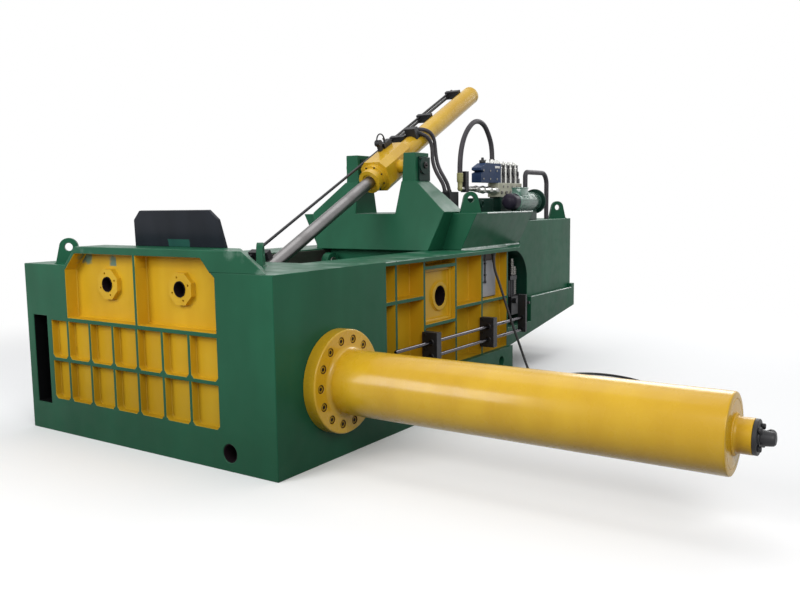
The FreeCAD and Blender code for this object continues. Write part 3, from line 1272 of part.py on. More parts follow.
def build_all():
    """Every node of the machine by name."""
    plain_wall = side_wall(False)
    return {
        "front_block": front_block(),
        "bale_box": bale_box(),
        "port_flanges": port_flanges(),
        "side_wall_right": side_wall(True),
        "side_wall_left": mirrored(plain_wall),
        "window_panel": window_panel(),
        "junction_cover": junction_cover(),
        "chamber_floor": chamber_floor(),
        "chamber_liners": chamber_liners(),
        "deck_plate": deck(),
        "guard_plate": guard(),
        "lifting_ears": ears(),
        "rear_housing": rear_housing(),
        "rear_skirts": rear_skirts(),
        "top_boxes": top_boxes(),
        "yoke": yoke(),
        "trunnion_bearings": trunnion_bearings(),
        "gate_plate": gate_plate(),
        "gate_cover": gate_cover(),
        "gate_cylinder_tube": gate_cylinder_tube(),
        "gate_rod": gate_rod(),
        "side_cylinder_flange": side_cylinder_flange(),
        "side_flange_bolts": side_flange_bolts(),
        "side_cylinder_tube": side_cylinder_tube(),
        "side_cylinder_boss": side_cylinder_boss(),
        "side_port_fitting": side_port_fitting(),
        "side_ram_rod": side_ram_rod(),
        "side_ram_head": side_ram_head(),
        "main_ram_head": main_ram_head(),
        "main_ram_rod": main_ram_rod(),
        "main_cylinder_tube": main_cylinder_tube(),
        "lid": lid(),
        "lid_lugs": lid_lugs(),
        "hinge_pins": hinge_pins(),
        "eye_pin": eye_pin(),
        "lid_cylinder_tube": lid_cylinder_tube(),
        "lid_trunnion_block": lid_trunnion_block(),
        "stroke_guides": stroke_guides(),
        "lid_cylinder_fittings": group([lid_hose_block()] + limit_switches()),
        "lid_rod": lid_rod(),
        "stroke_bar": stroke_bar(),
        "guide_blocks": guide_blocks(),
        "trip_rods": trip_rods(),
        "trip_bracket": trip_bracket(),
        "valve_stand": valve_stand(),
        "manifold": manifold(),
        "valve_body": valve_body(),
        "solenoid_valves": solenoid_valves(),
        "pressure_line": group([hose_foot()] + pipe_unions()),
        "line_blocks": group([line_valve(), hose_block()]),
        "lid_hoses": lid_hoses(),
        "pressure_hose": pressure_hose(),
        "rigid_pipe": rigid_pipe(),
        "motor": motor(),
        "bay_valves": bay_valves(),
        "bay_hoses": bay_hoses(),
        "cable_gland": cable_gland(),
        "control_cable": cord("control_cable", cable_points(), CABLE),
        "cable_coil": cable_coil(),
        "cable_plug": cable_plug(),
    }


def main():
    """Write one STEP file per node."""
    os.makedirs("parts", exist_ok=True)
    for name, shape in build_all().items():
        shape.exportStep("parts/" + name + ".step")
        print(name, len(shape.Solids), shape.isValid(), round(shape.Volume / 1e9, 4))


main()
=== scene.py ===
"""Looks of the scrap metal baler: paint, steel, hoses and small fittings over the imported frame."""

import logging
import math
from dataclasses import dataclass
from enum import Enum
from functools import cache
from typing import Any, Callable, Iterable, Sequence

import bmesh
import bpy
from mathutils import Matrix, Vector


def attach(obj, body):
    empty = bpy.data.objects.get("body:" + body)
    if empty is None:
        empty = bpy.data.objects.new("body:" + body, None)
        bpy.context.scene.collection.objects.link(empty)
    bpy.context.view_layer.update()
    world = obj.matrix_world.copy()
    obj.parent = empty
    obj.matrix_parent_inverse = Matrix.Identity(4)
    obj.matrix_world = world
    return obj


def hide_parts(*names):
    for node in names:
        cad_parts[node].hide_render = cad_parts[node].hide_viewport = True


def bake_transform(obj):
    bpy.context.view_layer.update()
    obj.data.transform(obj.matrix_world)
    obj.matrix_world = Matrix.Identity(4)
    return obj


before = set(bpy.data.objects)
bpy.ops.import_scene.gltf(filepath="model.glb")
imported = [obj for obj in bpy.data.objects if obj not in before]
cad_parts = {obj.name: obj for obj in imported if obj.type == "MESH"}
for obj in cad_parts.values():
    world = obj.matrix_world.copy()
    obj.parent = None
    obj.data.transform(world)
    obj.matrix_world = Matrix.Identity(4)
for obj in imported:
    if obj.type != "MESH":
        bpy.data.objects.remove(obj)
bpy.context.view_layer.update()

LOG = logging.getLogger("baler")
Pair = tuple[float, float]
Point = tuple[float, float, float]
Colour = tuple[float, float, float]
Limits = tuple[float | None, float | None]


class Slot(Enum):
    """Material slots of the record."""

    GREEN = "green"
    YELLOW = "yellow"
    DARK_GREEN = "dark_green"
    BLACK = "black"
    BLUE = "blue"
    PALE = "pale"
    CHROME = "chrome"
    STEEL = "steel"
    RUBBER = "rubber"


class Along(Enum):
    """The direction that a piece's axis points in, as the turn that takes local Z there."""

    X = (math.pi / 2, "Y")
    Y = (-math.pi / 2, "X")
    Z = (0.0, "X")
    MINUS_X = (-math.pi / 2, "Y")
    MINUS_Y = (math.pi / 2, "X")


def srgb(*display: float) -> Colour:
    """A linear colour from three display values of 0 to 255, by the sRGB curve."""
    shares = (value / 255.0 for value in display)
    return tuple(share / 12.92 if share <= 0.04045 else ((share + 0.055) / 1.055) ** 2.4 for share in shares)


# ---------------------------------------------------------------- shader expressions

def arithmetic(operation: str, reflected: bool = False) -> Callable[["Sock", Any], "Sock"]:
    """A Math node as a Python operator.

    Args:
        operation: The node's operation.
        reflected: Whether the socket is the second input.

    Returns:
        The operator's method.
    """
    def apply(self: "Sock", other: Any) -> "Sock":
        """The result's socket."""
        pair = (other, self) if reflected else (self, other)
        return self.graph.node("Math", dict(enumerate(pair)), operation=operation)

    return apply


class Sock:
    """A shader socket that can be used in arithmetic."""

    __add__ = __radd__ = arithmetic("ADD")
    __mul__ = __rmul__ = arithmetic("MULTIPLY")
    __sub__, __rsub__ = arithmetic("SUBTRACT"), arithmetic("SUBTRACT", reflected=True)
    __gt__, __lt__ = arithmetic("GREATER_THAN"), arithmetic("LESS_THAN")
    larger = arithmetic("MAXIMUM")

    def __init__(self, graph: "Graph", socket: bpy.types.NodeSocket) -> None:
        """Keep the socket and the graph that it belongs to."""
        self.graph = graph
        self.socket = socket

    def sibling(self, output: Any) -> "Sock":
        """Another output of the same node."""
        return Sock(self.graph, self.socket.node.outputs[output])

    def math(self, operation: str) -> "Sock":
        """A Math node of one input on this socket."""
        return self.graph.node("Math", {0: self}, operation=operation)

    def ramp(self, low: float, high: float) -> "Sock":
        """A smooth rise from 0 at low to 1 at high."""
        return self.graph.node("MapRange", {"Value": self, "From Min": low, "From Max": high},
                               interpolation_type="SMOOTHSTEP")


class Graph:
    """A node tree, of a material or of the surroundings."""

    def __init__(self, tree: bpy.types.NodeTree) -> None:
        """Keep the tree."""
        self.tree = tree

    def node(self, kind: str, sockets: dict[Any, Any], output: Any = 0, **settings: Any) -> Sock:
        """Any shader node.

        Args:
            kind: The node's type name after ShaderNode.
            sockets: Its inputs by name or index, as sockets, numbers or colours.
            output: The name or index of the wanted output.
            settings: Its settings, set first.

        Returns:
            That output's socket.
        """
        made = self.tree.nodes.new("ShaderNode" + kind)
        for key, value in settings.items():
            setattr(made, key, value)
        for key, value in sockets.items():
            self.feed(made.inputs[key], value)
        return Sock(self, made.outputs[output])

    def feed(self, target: bpy.types.NodeSocket, value: Any) -> None:
        """Link or set one input.

        Args:
            target: The input.
            value: A socket, a number or a colour.
        """
        if isinstance(value, Sock):
            self.tree.links.new(value.socket, target)
        elif isinstance(value, tuple) and len(target.default_value) == 4:
            target.default_value = (*value, 1.0)
        else:
            target.default_value = value

    def blend(self, factor: Any, low: Any, high: Any, way: str = "MIX") -> Sock:
        """A first colour taken towards a second by a factor, or multiplied by it where way is MULTIPLY."""
        return self.node("Mix", {0: factor, 6: low, 7: high}, 2, data_type="RGBA", blend_type=way)

    def seen(self) -> Sock:
        """One for what the camera sees, also in a reflection or through glass."""
        path = self.node("LightPath", {}, "Is Camera Ray")
        return path.larger(path.sibling("Is Glossy Ray")).larger(path.sibling("Is Transmission Ray"))


class Shader(Graph):
    """A material's node tree round one Principled shader."""

    def __init__(self, name: str) -> None:
        """Start a material with its Principled shader.

        Args:
            name: The material's name.
        """
        self.material = bpy.data.materials.new(name)
        self.material.use_nodes = True
        super().__init__(self.material.node_tree)
        self.principled = self.tree.nodes["Principled BSDF"]
        self.coords = self.node("TexCoord", {}, "Object")

    def noise(self, scale: float, detail: float = 3.0, stretch: Point = (1.0, 1.0, 1.0)) -> Sock:
        """Noise over object coordinates, with its scale per metre, its octaves and its stretch along each axis."""
        place = self.node("Mapping", {"Vector": self.coords, "Scale": stretch})
        return self.node("TexNoise", {"Vector": place, "Scale": scale, "Detail": detail})

    def axes(self) -> tuple[Sock, Sock, Sock]:
        """X, Y and Z of the object coordinates."""
        across = self.node("SeparateXYZ", {"Vector": self.coords})
        return across, across.sibling(1), across.sibling(2)

    def bump(self, height: Sock, strength: float, distance: float) -> Sock:
        """A normal from a height, with the bump's strength and its depth in metres."""
        return self.node("Bump", {"Strength": strength, "Distance": distance, "Height": height})

    def surface(self, **sockets: Any) -> bpy.types.Material:
        """Set the Principled shader's sockets.

        Args:
            sockets: Its inputs, named with _ for a space.

        Returns:
            The material.
        """
        for key, value in sockets.items():
            self.feed(self.principled.inputs[key.replace("_", " ")], value)
        return self.material


@dataclass(frozen=True)
class Region:
    """A box in object coordinates where a second paint lies; a None limit is open, rise limits height less x."""

    x: Limits = (None, None)
    y: Limits = (None, None)
    z: Limits = (None, None)
    mirrored: bool = False
    ragged: float = 0.0
    rise: float | None = None
    patchy: bool = False

    def mask(self, shader: Shader) -> Sock:
        """One inside the box.

        Args:
            shader: The shader to work in.

        Returns:
            The mask's socket.
        """
        across, deep, up = shader.axes()
        if self.mirrored:
            across = across.math("ABSOLUTE")
        if self.ragged:
            stray = (shader.noise(24.0, 4.0) - 0.5) * self.ragged
            across, deep = across + stray, deep + stray * 4.0
        tests = [] if self.rise is None else [up - across < self.rise]
        for value, (low, high) in ((across, self.x), (deep, self.y), (up, self.z)):
            tests += ([] if low is None else [value > low]) + ([] if high is None else [value < high])
        mask = math.prod(tests[1:], start=tests[0])
        return mask * shader.noise(6.0, 5.0).ramp(0.52, 0.66) if self.patchy else mask


CHIPPED = srgb(120, 112, 98)
# Tint and heights of painted shade: paint is multiplied darker towards the floor.
LOW_SHADE_TINT = (0.40, 0.42, 0.38)
LOW_SHADE_HEIGHTS = (0.1, 0.95)
COAT_ROUGHNESS = 0.12


@dataclass(frozen=True)
class Paint:
    """Sprayed paint on welded steel: two tones, fine orange peel, faint waves of the plate and painted shade low down.
    """

    name: str
    colour: Colour
    shade: Colour
    roughness: float = 0.34
    coat: float = 0.04
    gloss: float = 0.13
    peel: float = 0.02
    waves: float = 0.10
    low_shade: float = 0.7
    chips: float = 0.12
    cloud: float = 1.6
    dull: Region | None = None
    regions: tuple[tuple[Region, Colour, Colour], ...] = ()

    def build(self) -> bpy.types.Material:
        """Make the material.

        Returns:
            The material.
        """
        shader = Shader(self.name)
        cloud = shader.noise(self.cloud, 4.0)
        streaks = shader.noise(5.0, 3.0, (1.0, 1.0, 0.18))
        tone = (cloud * 0.6 + streaks * 0.4).ramp(0.35, 0.68)
        colour = shader.blend(tone, self.shade, self.colour)
        for region, bright, dull in self.regions:
            colour = shader.blend(region.mask(shader), colour, shader.blend(tone, dull, bright))
        specks = shader.noise(90.0, 2.0).ramp(0.735, 0.76) * shader.noise(2.3, 2.0).ramp(0.5, 0.66) * self.chips
        colour = shader.blend(specks, colour, CHIPPED)
        _, _, up = shader.axes()
        # Painted shade: colour multiplied darker towards the bottom, a little patchy, and rougher there.
        low = (1.0 - up.ramp(*LOW_SHADE_HEIGHTS)) * (shader.noise(3.0, 3.0).ramp(0.3, 0.7) * 0.2 + 0.8) * self.low_shade
        colour = shader.blend(low, colour, LOW_SHADE_TINT, "MULTIPLY")
        height = shader.noise(70.0, 2.0) * self.peel + shader.noise(2.4, 2.0) * self.waves
        rough = shader.noise(11.0, 4.0).ramp(0.3, 0.75) * 0.10 + self.roughness + low * 0.15 + specks * 0.3
        coat = self.coat if self.dull is None else (1.0 - self.dull.mask(shader)) * self.coat
        return shader.surface(Base_Color=colour, Roughness=rough, Normal=shader.bump(height, 0.35, 0.004),
                              Coat_Weight=coat, Coat_Roughness=COAT_ROUGHNESS, Specular_IOR_Level=self.gloss)


@dataclass(frozen=True)
class Metal:
    """Bare metal: turned, ground or plated, with fine lines along one axis and a film of oil in patches."""

    name: str
    colour: Colour
    roughness: float = 0.2
    lines: float = 0.4
    grain: Point = (1.0, 1.0, 1.0)
    stain: Colour = (0.05, 0.045, 0.04)
    stained: float = 0.25

    def build(self) -> bpy.types.Material:
        """Make the material.

        Returns:
            The material.
        """
        shader = Shader(self.name)
        lines = shader.noise(140.0, 3.0, self.grain)
        film = shader.noise(6.0, 5.0).ramp(0.45, 0.75) * self.stained
        rough = lines.ramp(0.2, 0.8) * 0.16 + self.roughness + film * 0.35
        return shader.surface(Base_Color=shader.blend(film, self.colour, self.stain), Metallic=1.0, Roughness=rough,
                              Normal=shader.bump(lines * self.lines, 0.25, 0.0012))


@dataclass(frozen=True)
class Rubber:
    """Hose cover: dull rubber with a woven wrap's fine bands and a little dust."""

    name: str
    colour: Colour
    dust: Colour
    roughness: float = 0.55

    def build(self) -> bpy.types.Material:
        """Make the material.

        Returns:
            The material.
        """
        shader = Shader(self.name)
        weave = shader.noise(260.0, 2.0) * 0.6 + shader.noise(60.0, 3.0) * 0.4
        film = shader.noise(9.0, 5.0).ramp(0.4, 0.75) * 0.4
        rough = weave.ramp(0.2, 0.8) * 0.15 + self.roughness
        return shader.surface(Base_Color=shader.blend(film, self.colour, self.dust), Roughness=rough,
                              Normal=shader.bump(weave, 0.3, 0.0015))


LEAF = srgb(33, 94, 68), srgb(27, 82, 58)
GOLD = srgb(214, 172, 40), srgb(198, 154, 28)
# Painted shade: near black for the inside of the gate slot.
SLOT_SHADE_BLACK = srgb(15, 16, 17)
# Pale patchy band on the wall and front tops: partly scuffed wear, partly painted sheen of the top faces.
SCUFF_AND_SHEEN = srgb(112, 138, 124), srgb(84, 120, 102)
CELL = Region(x=(-1.16, 0.575), y=(-0.5185, -0.36), z=(0.25, 1.34), rise=2.185)
SLOT_INSIDE_SHADE = Region(x=(-1.3705, -1.2045), y=(-0.518, None), z=(0.2065, 0.8675))
# Painted shade: the inside of the service bay is a darker green than the housing.
BAY_INSIDE_SHADE = Region(x=(0.449, 0.8155), y=(2.689, 3.443), z=(0.469, 1.192))
WALL_PANELS = Region(x=(0.85, 0.9985), y=(0.64, 2.63), z=(0.355, 1.2203), mirrored=True)
MOUTH_EDGE = Region(x=(0.50, 1.06), y=(-0.53, 2.6), z=(1.2488, None), mirrored=True, patchy=True)
# Painted highlight: a near-white strip on the flange top at the right box's foot, on the right side only.
BOX_FOOT_HIGHLIGHT = Region(x=(0.79, 0.93), y=(2.13, 2.80), z=(1.2488, None), ragged=0.03)
# Painted reflection: a green patch at the foot of the dark guard plate, the green front mirrored in it.
GUARD_GREEN_REFLECTION = Region(x=(-0.11, 0.10), z=(None, 1.437), ragged=0.05)
# Painted highlight: a thin near-white line along the wall flange's outer edge.
FLANGE_EDGE_HIGHLIGHT = Region(x=(1.040, 1.06), y=(-0.05, 1.15), z=(1.2435, 1.2495), ragged=0.05)
# Painted shade: the recessed cell round the junction cover is dark brown instead of yellow.
COVER_CELL_SHADE = Region(x=(0.80, 0.9985), y=(2.166, 2.535), z=(0.820, 1.2203))
TUBE_END = Region(x=(3.49, None))


class Finish(Enum):
    """Every finish of the machine."""

    GREEN = Paint("green_paint", *LEAF)
    FRONT = Paint("front_paint", *LEAF, regions=((CELL, *GOLD), (SLOT_INSIDE_SHADE, SLOT_SHADE_BLACK, SLOT_SHADE_BLACK), (MOUTH_EDGE, *SCUFF_AND_SHEEN)))
    WALL = Paint("wall_paint", *LEAF, regions=(
        (WALL_PANELS, *GOLD), (COVER_CELL_SHADE, srgb(74, 50, 34), srgb(46, 32, 26)), (MOUTH_EDGE, *SCUFF_AND_SHEEN),
        (FLANGE_EDGE_HIGHLIGHT, srgb(214, 222, 216), srgb(120, 150, 134)), (BOX_FOOT_HIGHLIGHT, srgb(240, 241, 238), srgb(196, 204, 198))))
    HOUSING = Paint("housing_paint", *LEAF, regions=((BAY_INSIDE_SHADE, srgb(26, 70, 54), srgb(20, 54, 42)),))
    YELLOW = Paint("yellow_paint", *GOLD, roughness=0.3, coat=0.15)
    GLOSSY_YELLOW = Paint("cylinder_paint", *GOLD, roughness=0.24, coat=0.3, gloss=0.25, peel=0.008, waves=0.05,
                          low_shade=0.0, chips=0.0, dull=TUBE_END)
    DARK_GREEN = Paint("dark_green_paint", srgb(22, 56, 46), srgb(17, 44, 36), roughness=0.36)
    MOTOR = Paint("motor_paint", srgb(112, 152, 136), srgb(78, 116, 102), roughness=0.2, coat=0.6, gloss=0.5, cloud=5.0)
    BLACK = Paint("black_paint", srgb(28, 28, 32), srgb(20, 20, 24), roughness=0.42, gloss=0.4)
    FAN = Paint("fan_cover_paint", srgb(46, 40, 54), srgb(34, 29, 42), roughness=0.4)
    # Dark guard plate; the green patch at its foot is a painted reflection.
    GUARD = Paint("guard_paint", srgb(33, 37, 45), srgb(24, 27, 34), roughness=0.3, waves=0.3, regions=(
        (GUARD_GREEN_REFLECTION, srgb(38, 88, 76), srgb(34, 70, 66)),))
    BLUE = Paint("blue_paint", srgb(46, 68, 104), srgb(36, 54, 86))
    PALE = Paint("pale_zinc", srgb(206, 204, 184), srgb(180, 178, 158), roughness=0.4, cloud=6.0)
    FERRULE = Paint("yellow_passivated_zinc", srgb(206, 202, 150), srgb(166, 160, 108), roughness=0.3, coat=0.3,
                    cloud=9.0)
    COVER = Paint("cover_paint", srgb(168, 168, 172), srgb(142, 143, 150), roughness=0.4, cloud=4.0)
    # Painted highlight: near white with green patches, for weld beads catching light.
    WELD_HIGHLIGHT = Paint("weld_painted_highlight", srgb(240, 243, 240), srgb(128, 158, 144), roughness=0.25, coat=0.5, gloss=0.5,
                        low_shade=0.0, cloud=13.0)
    # Painted shade: near black with a red cast, for the insides of bores and screw sockets.
    HOLE_SHADE = Paint("bore_painted_shade", srgb(26, 14, 20), srgb(18, 10, 14), roughness=0.7, coat=0.0, chips=0.0, low_shade=0.0)
    # Painted shade: dark brown lining the gap between the screw heads and the counterbores.
    SEAT_SHADE = Paint("screw_seat_painted_shade", srgb(92, 46, 26), srgb(70, 34, 20), roughness=0.6, coat=0.0)
    CHROME = Metal("chromed_rod", srgb(205, 207, 212), roughness=0.1, lines=0.02, stained=0.04)
    # Painted reflection: chromed guide rods given a dark base colour, as if mirroring dark surroundings, with a little
    # oil film.
    GUIDE_ROD_DARK_REFLECTION = Metal("guide_rod_painted_dark", srgb(78, 75, 80), roughness=0.1, lines=0.0, stained=0.1)
    # Painted reflection: the chromed lid rod has a grey base colour so its reflection reads dimmer.
    ROD = Metal("cylinder_rod", srgb(128, 126, 126), roughness=0.26, lines=0.2, grain=(1.0, 0.2, 1.0))
    STEEL = Metal("machined_steel", srgb(140, 138, 134), roughness=0.3)
    ZINC = Metal("bright_zinc", srgb(196, 196, 192), roughness=0.24, lines=0.2, stained=0.12)
    PRESS_STEEL = Metal("worn_liner_steel", srgb(98, 94, 90), roughness=0.42, grain=(1.0, 0.1, 1.0), stained=0.5)
    BLACK_OXIDE = Metal("black_oxide", srgb(52, 50, 50), roughness=0.34, lines=0.2)
    RUBBER = Rubber("hose_rubber", srgb(40, 37, 42), srgb(80, 74, 82))
    CABLE = Rubber("cable_rubber", srgb(22, 21, 24), srgb(58, 56, 58), roughness=0.5)


@cache
def material(finish: Finish) -> bpy.types.Material:
    """The material of a finish, made once."""
    return finish.value.build()


# ---------------------------------------------------------------- shapes

FORM_SMOOTH = 35.0
NODE_SMOOTH = 30.0
HOSE_SMOOTH = 50.0
RIPPLE = 0.018


def around(count: int, radius: float, start: float = 0.0) -> list[Pair]:
    """Places evenly round a circle, as pairs of offsets from its middle."""
    turns = [start + 2 * math.pi * index / count for index in range(count)]
    return [(radius * math.cos(turn), radius * math.sin(turn)) for turn in turns]


def heading(run: Vector) -> Matrix:
    """The turn that takes local Z along a run."""
    return run.to_track_quat("Z", "Y").to_matrix().to_4x4()


def shown(name: str, data: bpy.types.ID) -> bpy.types.Object:
    """Add an object to the scene.

    Args:
        name: Its name.
        data: Its mesh, lamp or camera.

    Returns:
        The object.
    """
    made = bpy.data.objects.new(name, data)
    bpy.context.scene.collection.objects.link(made)
    return made


def smooth(mesh: bpy.types.Mesh, angle: float) -> None:
    """Smooth every face, in the first material.

    Args:
        mesh: The mesh.
        angle: The angle in degrees from which edges stay sharp.
    """
    for polygon in mesh.polygons:
        polygon.use_smooth, polygon.material_index = True, 0
    mesh.set_sharp_from_angle(angle=math.radians(angle))


def soften(mesh: bmesh.types.BMesh, edges: Iterable[bmesh.types.BMEdge], width: float, segments: int) -> None:
    """Bevel some edges by a width, in a number of segments."""
    bmesh.ops.bevel(mesh, geom=list(edges), offset=width, offset_type="OFFSET", segments=segments, profile=0.5,
                    affect="EDGES", clamp_overlap=True, material=-1)


def sweep(mesh: bmesh.types.BMesh, steps: int, rise: float = 0.0) -> None:
    """Spin a mesh's edges once round Z, or take them straight up by a rise at each step."""
    bmesh.ops.spin(mesh, geom=list(mesh.verts) + list(mesh.edges), cent=(0, 0, 0), axis=(0, 0, 1), dvec=(0, 0, rise),
                   angle=0.0 if rise else 2 * math.pi, steps=steps, use_merge=not rise, use_duplicate=False)


def enrol(piece: bpy.types.Object, body: str, nodes: Sequence[str] = ()) -> None:
    """Tell the frame where a piece belongs.

    Args:
        piece: The piece.
        body: The body that it rides on.
        nodes: The CAD nodes that it stands for.
    """
    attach(piece, body)
    if nodes:
        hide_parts(*nodes)
    LOG.info("%s rides on %s", piece.name, body)


def finished(mesh: bmesh.types.BMesh, name: str, finish: Finish, angle: float) -> bpy.types.Object:
    """Make an object from a mesh under construction.

    Args:
        mesh: The mesh, which is freed.
        name: The object's name.
        finish: Its finish.
        angle: The angle in degrees under which edges are smooth.

    Returns:
        The object.
    """
    data = bpy.data.meshes.new(name)
    mesh.to_mesh(data)
    mesh.free()
    smooth(data, angle)
    data.materials.clear()
    data.materials.append(material(finish))
    return shown(name, data)


class Form:
    """A mesh under construction; each shape added to it stands in the form's base."""

    def __init__(self, base: Matrix | None = None) -> None:
        """Start an empty mesh."""
        self.mesh = bmesh.new()
        self.base = base or Matrix.Identity(4)

    def box(self, low: Point, high: Point, bevel: float = 0.002) -> "Form":
        """Add a box with softened edges.

        Args:
            low: Its lowest corner.
            high: Its highest corner.
            bevel: The width of its edges' bevel.

        Returns:
            This form.
        """
        size, middle = Vector(high) - Vector(low), (Vector(high) + Vector(low)) / 2
        matrix = self.base @ Matrix.Translation(middle) @ Matrix.Diagonal((*size, 1.0))
        made = bmesh.ops.create_cube(self.mesh, size=1.0, matrix=matrix)
        soften(self.mesh, {edge for vert in made["verts"] for edge in vert.link_edges}, bevel, 2)
        return self

    def boxes_round(self, count: int, middle: Pair, low: Point, high: Point, bevel: float) -> None:
        """Add boxes evenly round an axis along Y.

        Args:
            count: Their number.
            middle: X and Z of the axis.
            low: The first box's lowest corner, in X and Z from the axis.
            high: Its highest corner.
            bevel: The width of their edges' bevel.
        """
        for index in range(count):
            turn = Matrix.Rotation(2 * math.pi * index / count, 4, "Y")
            self.base = Matrix.Translation((middle[0], 0, middle[1])) @ turn
            self.box(low, high, bevel)
        self.base = Matrix.Identity(4)

    def take(self, part: bmesh.types.BMesh, at: Point, along: Along = Along.Z, turn: Matrix | None = None) -> "Form":
        """Add another mesh and free it.

        Args:
            part: The mesh.
            at: Where it stands.
            along: Where its local Z points.
            turn: Its own turn, instead of along.

        Returns:
            This form.
        """
        angle, axis = along.value
        matrix = self.base @ Matrix.Translation(at) @ (turn or Matrix.Rotation(angle, 4, axis))
        bmesh.ops.recalc_face_normals(part, faces=part.faces)
        bmesh.ops.transform(part, matrix=matrix, verts=part.verts)
        carrier = bpy.data.meshes.new("carrier")
        part.to_mesh(carrier)
        part.free()
        self.mesh.from_mesh(carrier)
        bpy.data.meshes.remove(carrier)
        return self

    def turned(self, profile: Sequence[Pair], at: Point, along: Along = Along.Z, steps: int = 28,
               ring: bool = False, turn: Matrix | None = None) -> "Form":
        """Add a turned piece, its profile spun round its axis.

        Args:
            profile: Radius and height pairs; the ends run on to the axis, or in a ring to each other.
            at: Where its foot stands.
            along: Where its axis points.
            steps: The number of steps round.
            ring: Whether it is a ring.
            turn: Its own turn, instead of along.

        Returns:
            This form.
        """
        part = bmesh.new()
        closed = [*profile, profile[0]] if ring else [(0.0, profile[0][1]), *profile, (0.0, profile[-1][1])]
        verts = [part.verts.new((radius, 0.0, height)) for radius, height in closed]
        for pair in zip(verts, verts[1:]):
            part.edges.new(pair)
        sweep(part, steps)
        bmesh.ops.remove_doubles(part, verts=part.verts, dist=1e-6)
        return self.take(part, at, along, turn)

    def bar(self, sides: int, radius: float, length: float, at: Point, along: Along = Along.Z,
            bevel: float = 0.0015) -> "Form":
        """Add a bar with a number of sides, such as a hex nut.

        Args:
            sides: Its sides.
            radius: The radius at its corners.
            length: Its length.
            at: Where its foot stands.
            along: Where it points.
            bevel: The bevel of its end edges.

        Returns:
            This form.
        """
        part = bmesh.new()
        bmesh.ops.create_cone(part, cap_ends=True, segments=sides, radius1=radius, radius2=radius, depth=length,
                              matrix=Matrix.Translation((0, 0, length / 2)))
        soften(part, [edge for edge in part.edges if abs(edge.verts[0].co.z - edge.verts[1].co.z) < 1e-6], bevel, 1)
        return self.take(part, at, along)

    def bead(self, radius: float, ring: float, at: Point, along: Along, ripples: int = 0) -> "Form":
        """Add a round weld bead, a ring whose thickness ripples.

        Args:
            radius: The bead's own radius.
            ring: The ring's radius.
            at: Where its centre stands.
            along: Where its axis points.
            ripples: The number of ripples round it.

        Returns:
            This form.
        """
        part = bmesh.new()
        upright = Matrix.Translation((ring, 0, 0)) @ Matrix.Rotation(math.pi / 2, 4, "X")
        bmesh.ops.create_circle(part, segments=8, radius=radius, matrix=upright)
        sweep(part, max(96, ripples * 4))
        for vert in part.verts:
            turn = math.atan2(vert.co.y, vert.co.x)
            centre = Vector((ring * math.cos(turn), ring * math.sin(turn), 0))
            vert.co = centre + (vert.co - centre) * (1.0 + 0.12 * math.sin(turn * ripples))
        return self.take(part, at, along)

    def seam(self, start: Point, end: Point, radius: float = 0.006) -> "Form":
        """Add a straight weld bead with a rippled back.

        Args:
            start: One end of its line.
            end: The other end.
            radius: The bead's radius.

        Returns:
            This form.
        """
        run = Vector(end) - Vector(start)
        steps = 2 * max(1, round(run.length / RIPPLE))
        part = bmesh.new()
        bmesh.ops.create_circle(part, segments=6, radius=radius)
        sweep(part, steps, run.length / steps)
        bmesh.ops.holes_fill(part, edges=part.edges, sides=0)
        for vert in part.verts:
            swell = 1.0 + 0.16 * math.cos(math.pi * vert.co.z / run.length * steps)
            vert.co.x, vert.co.y = vert.co.x * swell, vert.co.y * swell
        return self.take(part, start, turn=heading(run))

    def seams_round(self, corners: Sequence[Point], radius: float = 0.006) -> None:
        """Add weld beads from corner to corner and back to the first, of one radius."""
        for start, end in zip(corners, [*corners[1:], corners[0]]):
            self.seam(start, end, radius)

    def sleeve(self, bore: float, depth: float, at: Point, along: Along, steps: int = 48) -> None:
        """Add the thin lining of a bore, with a closed inner end.

        Args:
            bore: The bore's radius.
            depth: Its depth.
            at: Where its mouth stands.
            along: Where it leads.
            steps: The number of steps round.
        """
        outer, inner, floor = bore - 0.0005, bore - 0.004, depth - 0.003
        self.turned([(outer, 0.0), (outer, depth), (0.0, depth), (0.0, floor), (inner, floor), (inner, 0.0)], at,
                    along, steps, ring=True)

    def piece(self, name: str, finish: Finish, slot: Slot, *nodes: str, body: str = "frame") -> bpy.types.Object:
        """Finish the mesh as a piece of the machine.

        Args:
            name: The piece's name.
            finish: Its finish.
            slot: The record's slot it belongs to; not used.
            nodes: The CAD nodes that it stands for.
            body: The body it rides on.

        Returns:
            The piece.
        """
        made = finished(self.mesh, name, finish, FORM_SMOOTH)
        enrol(made, body, nodes)
        return made


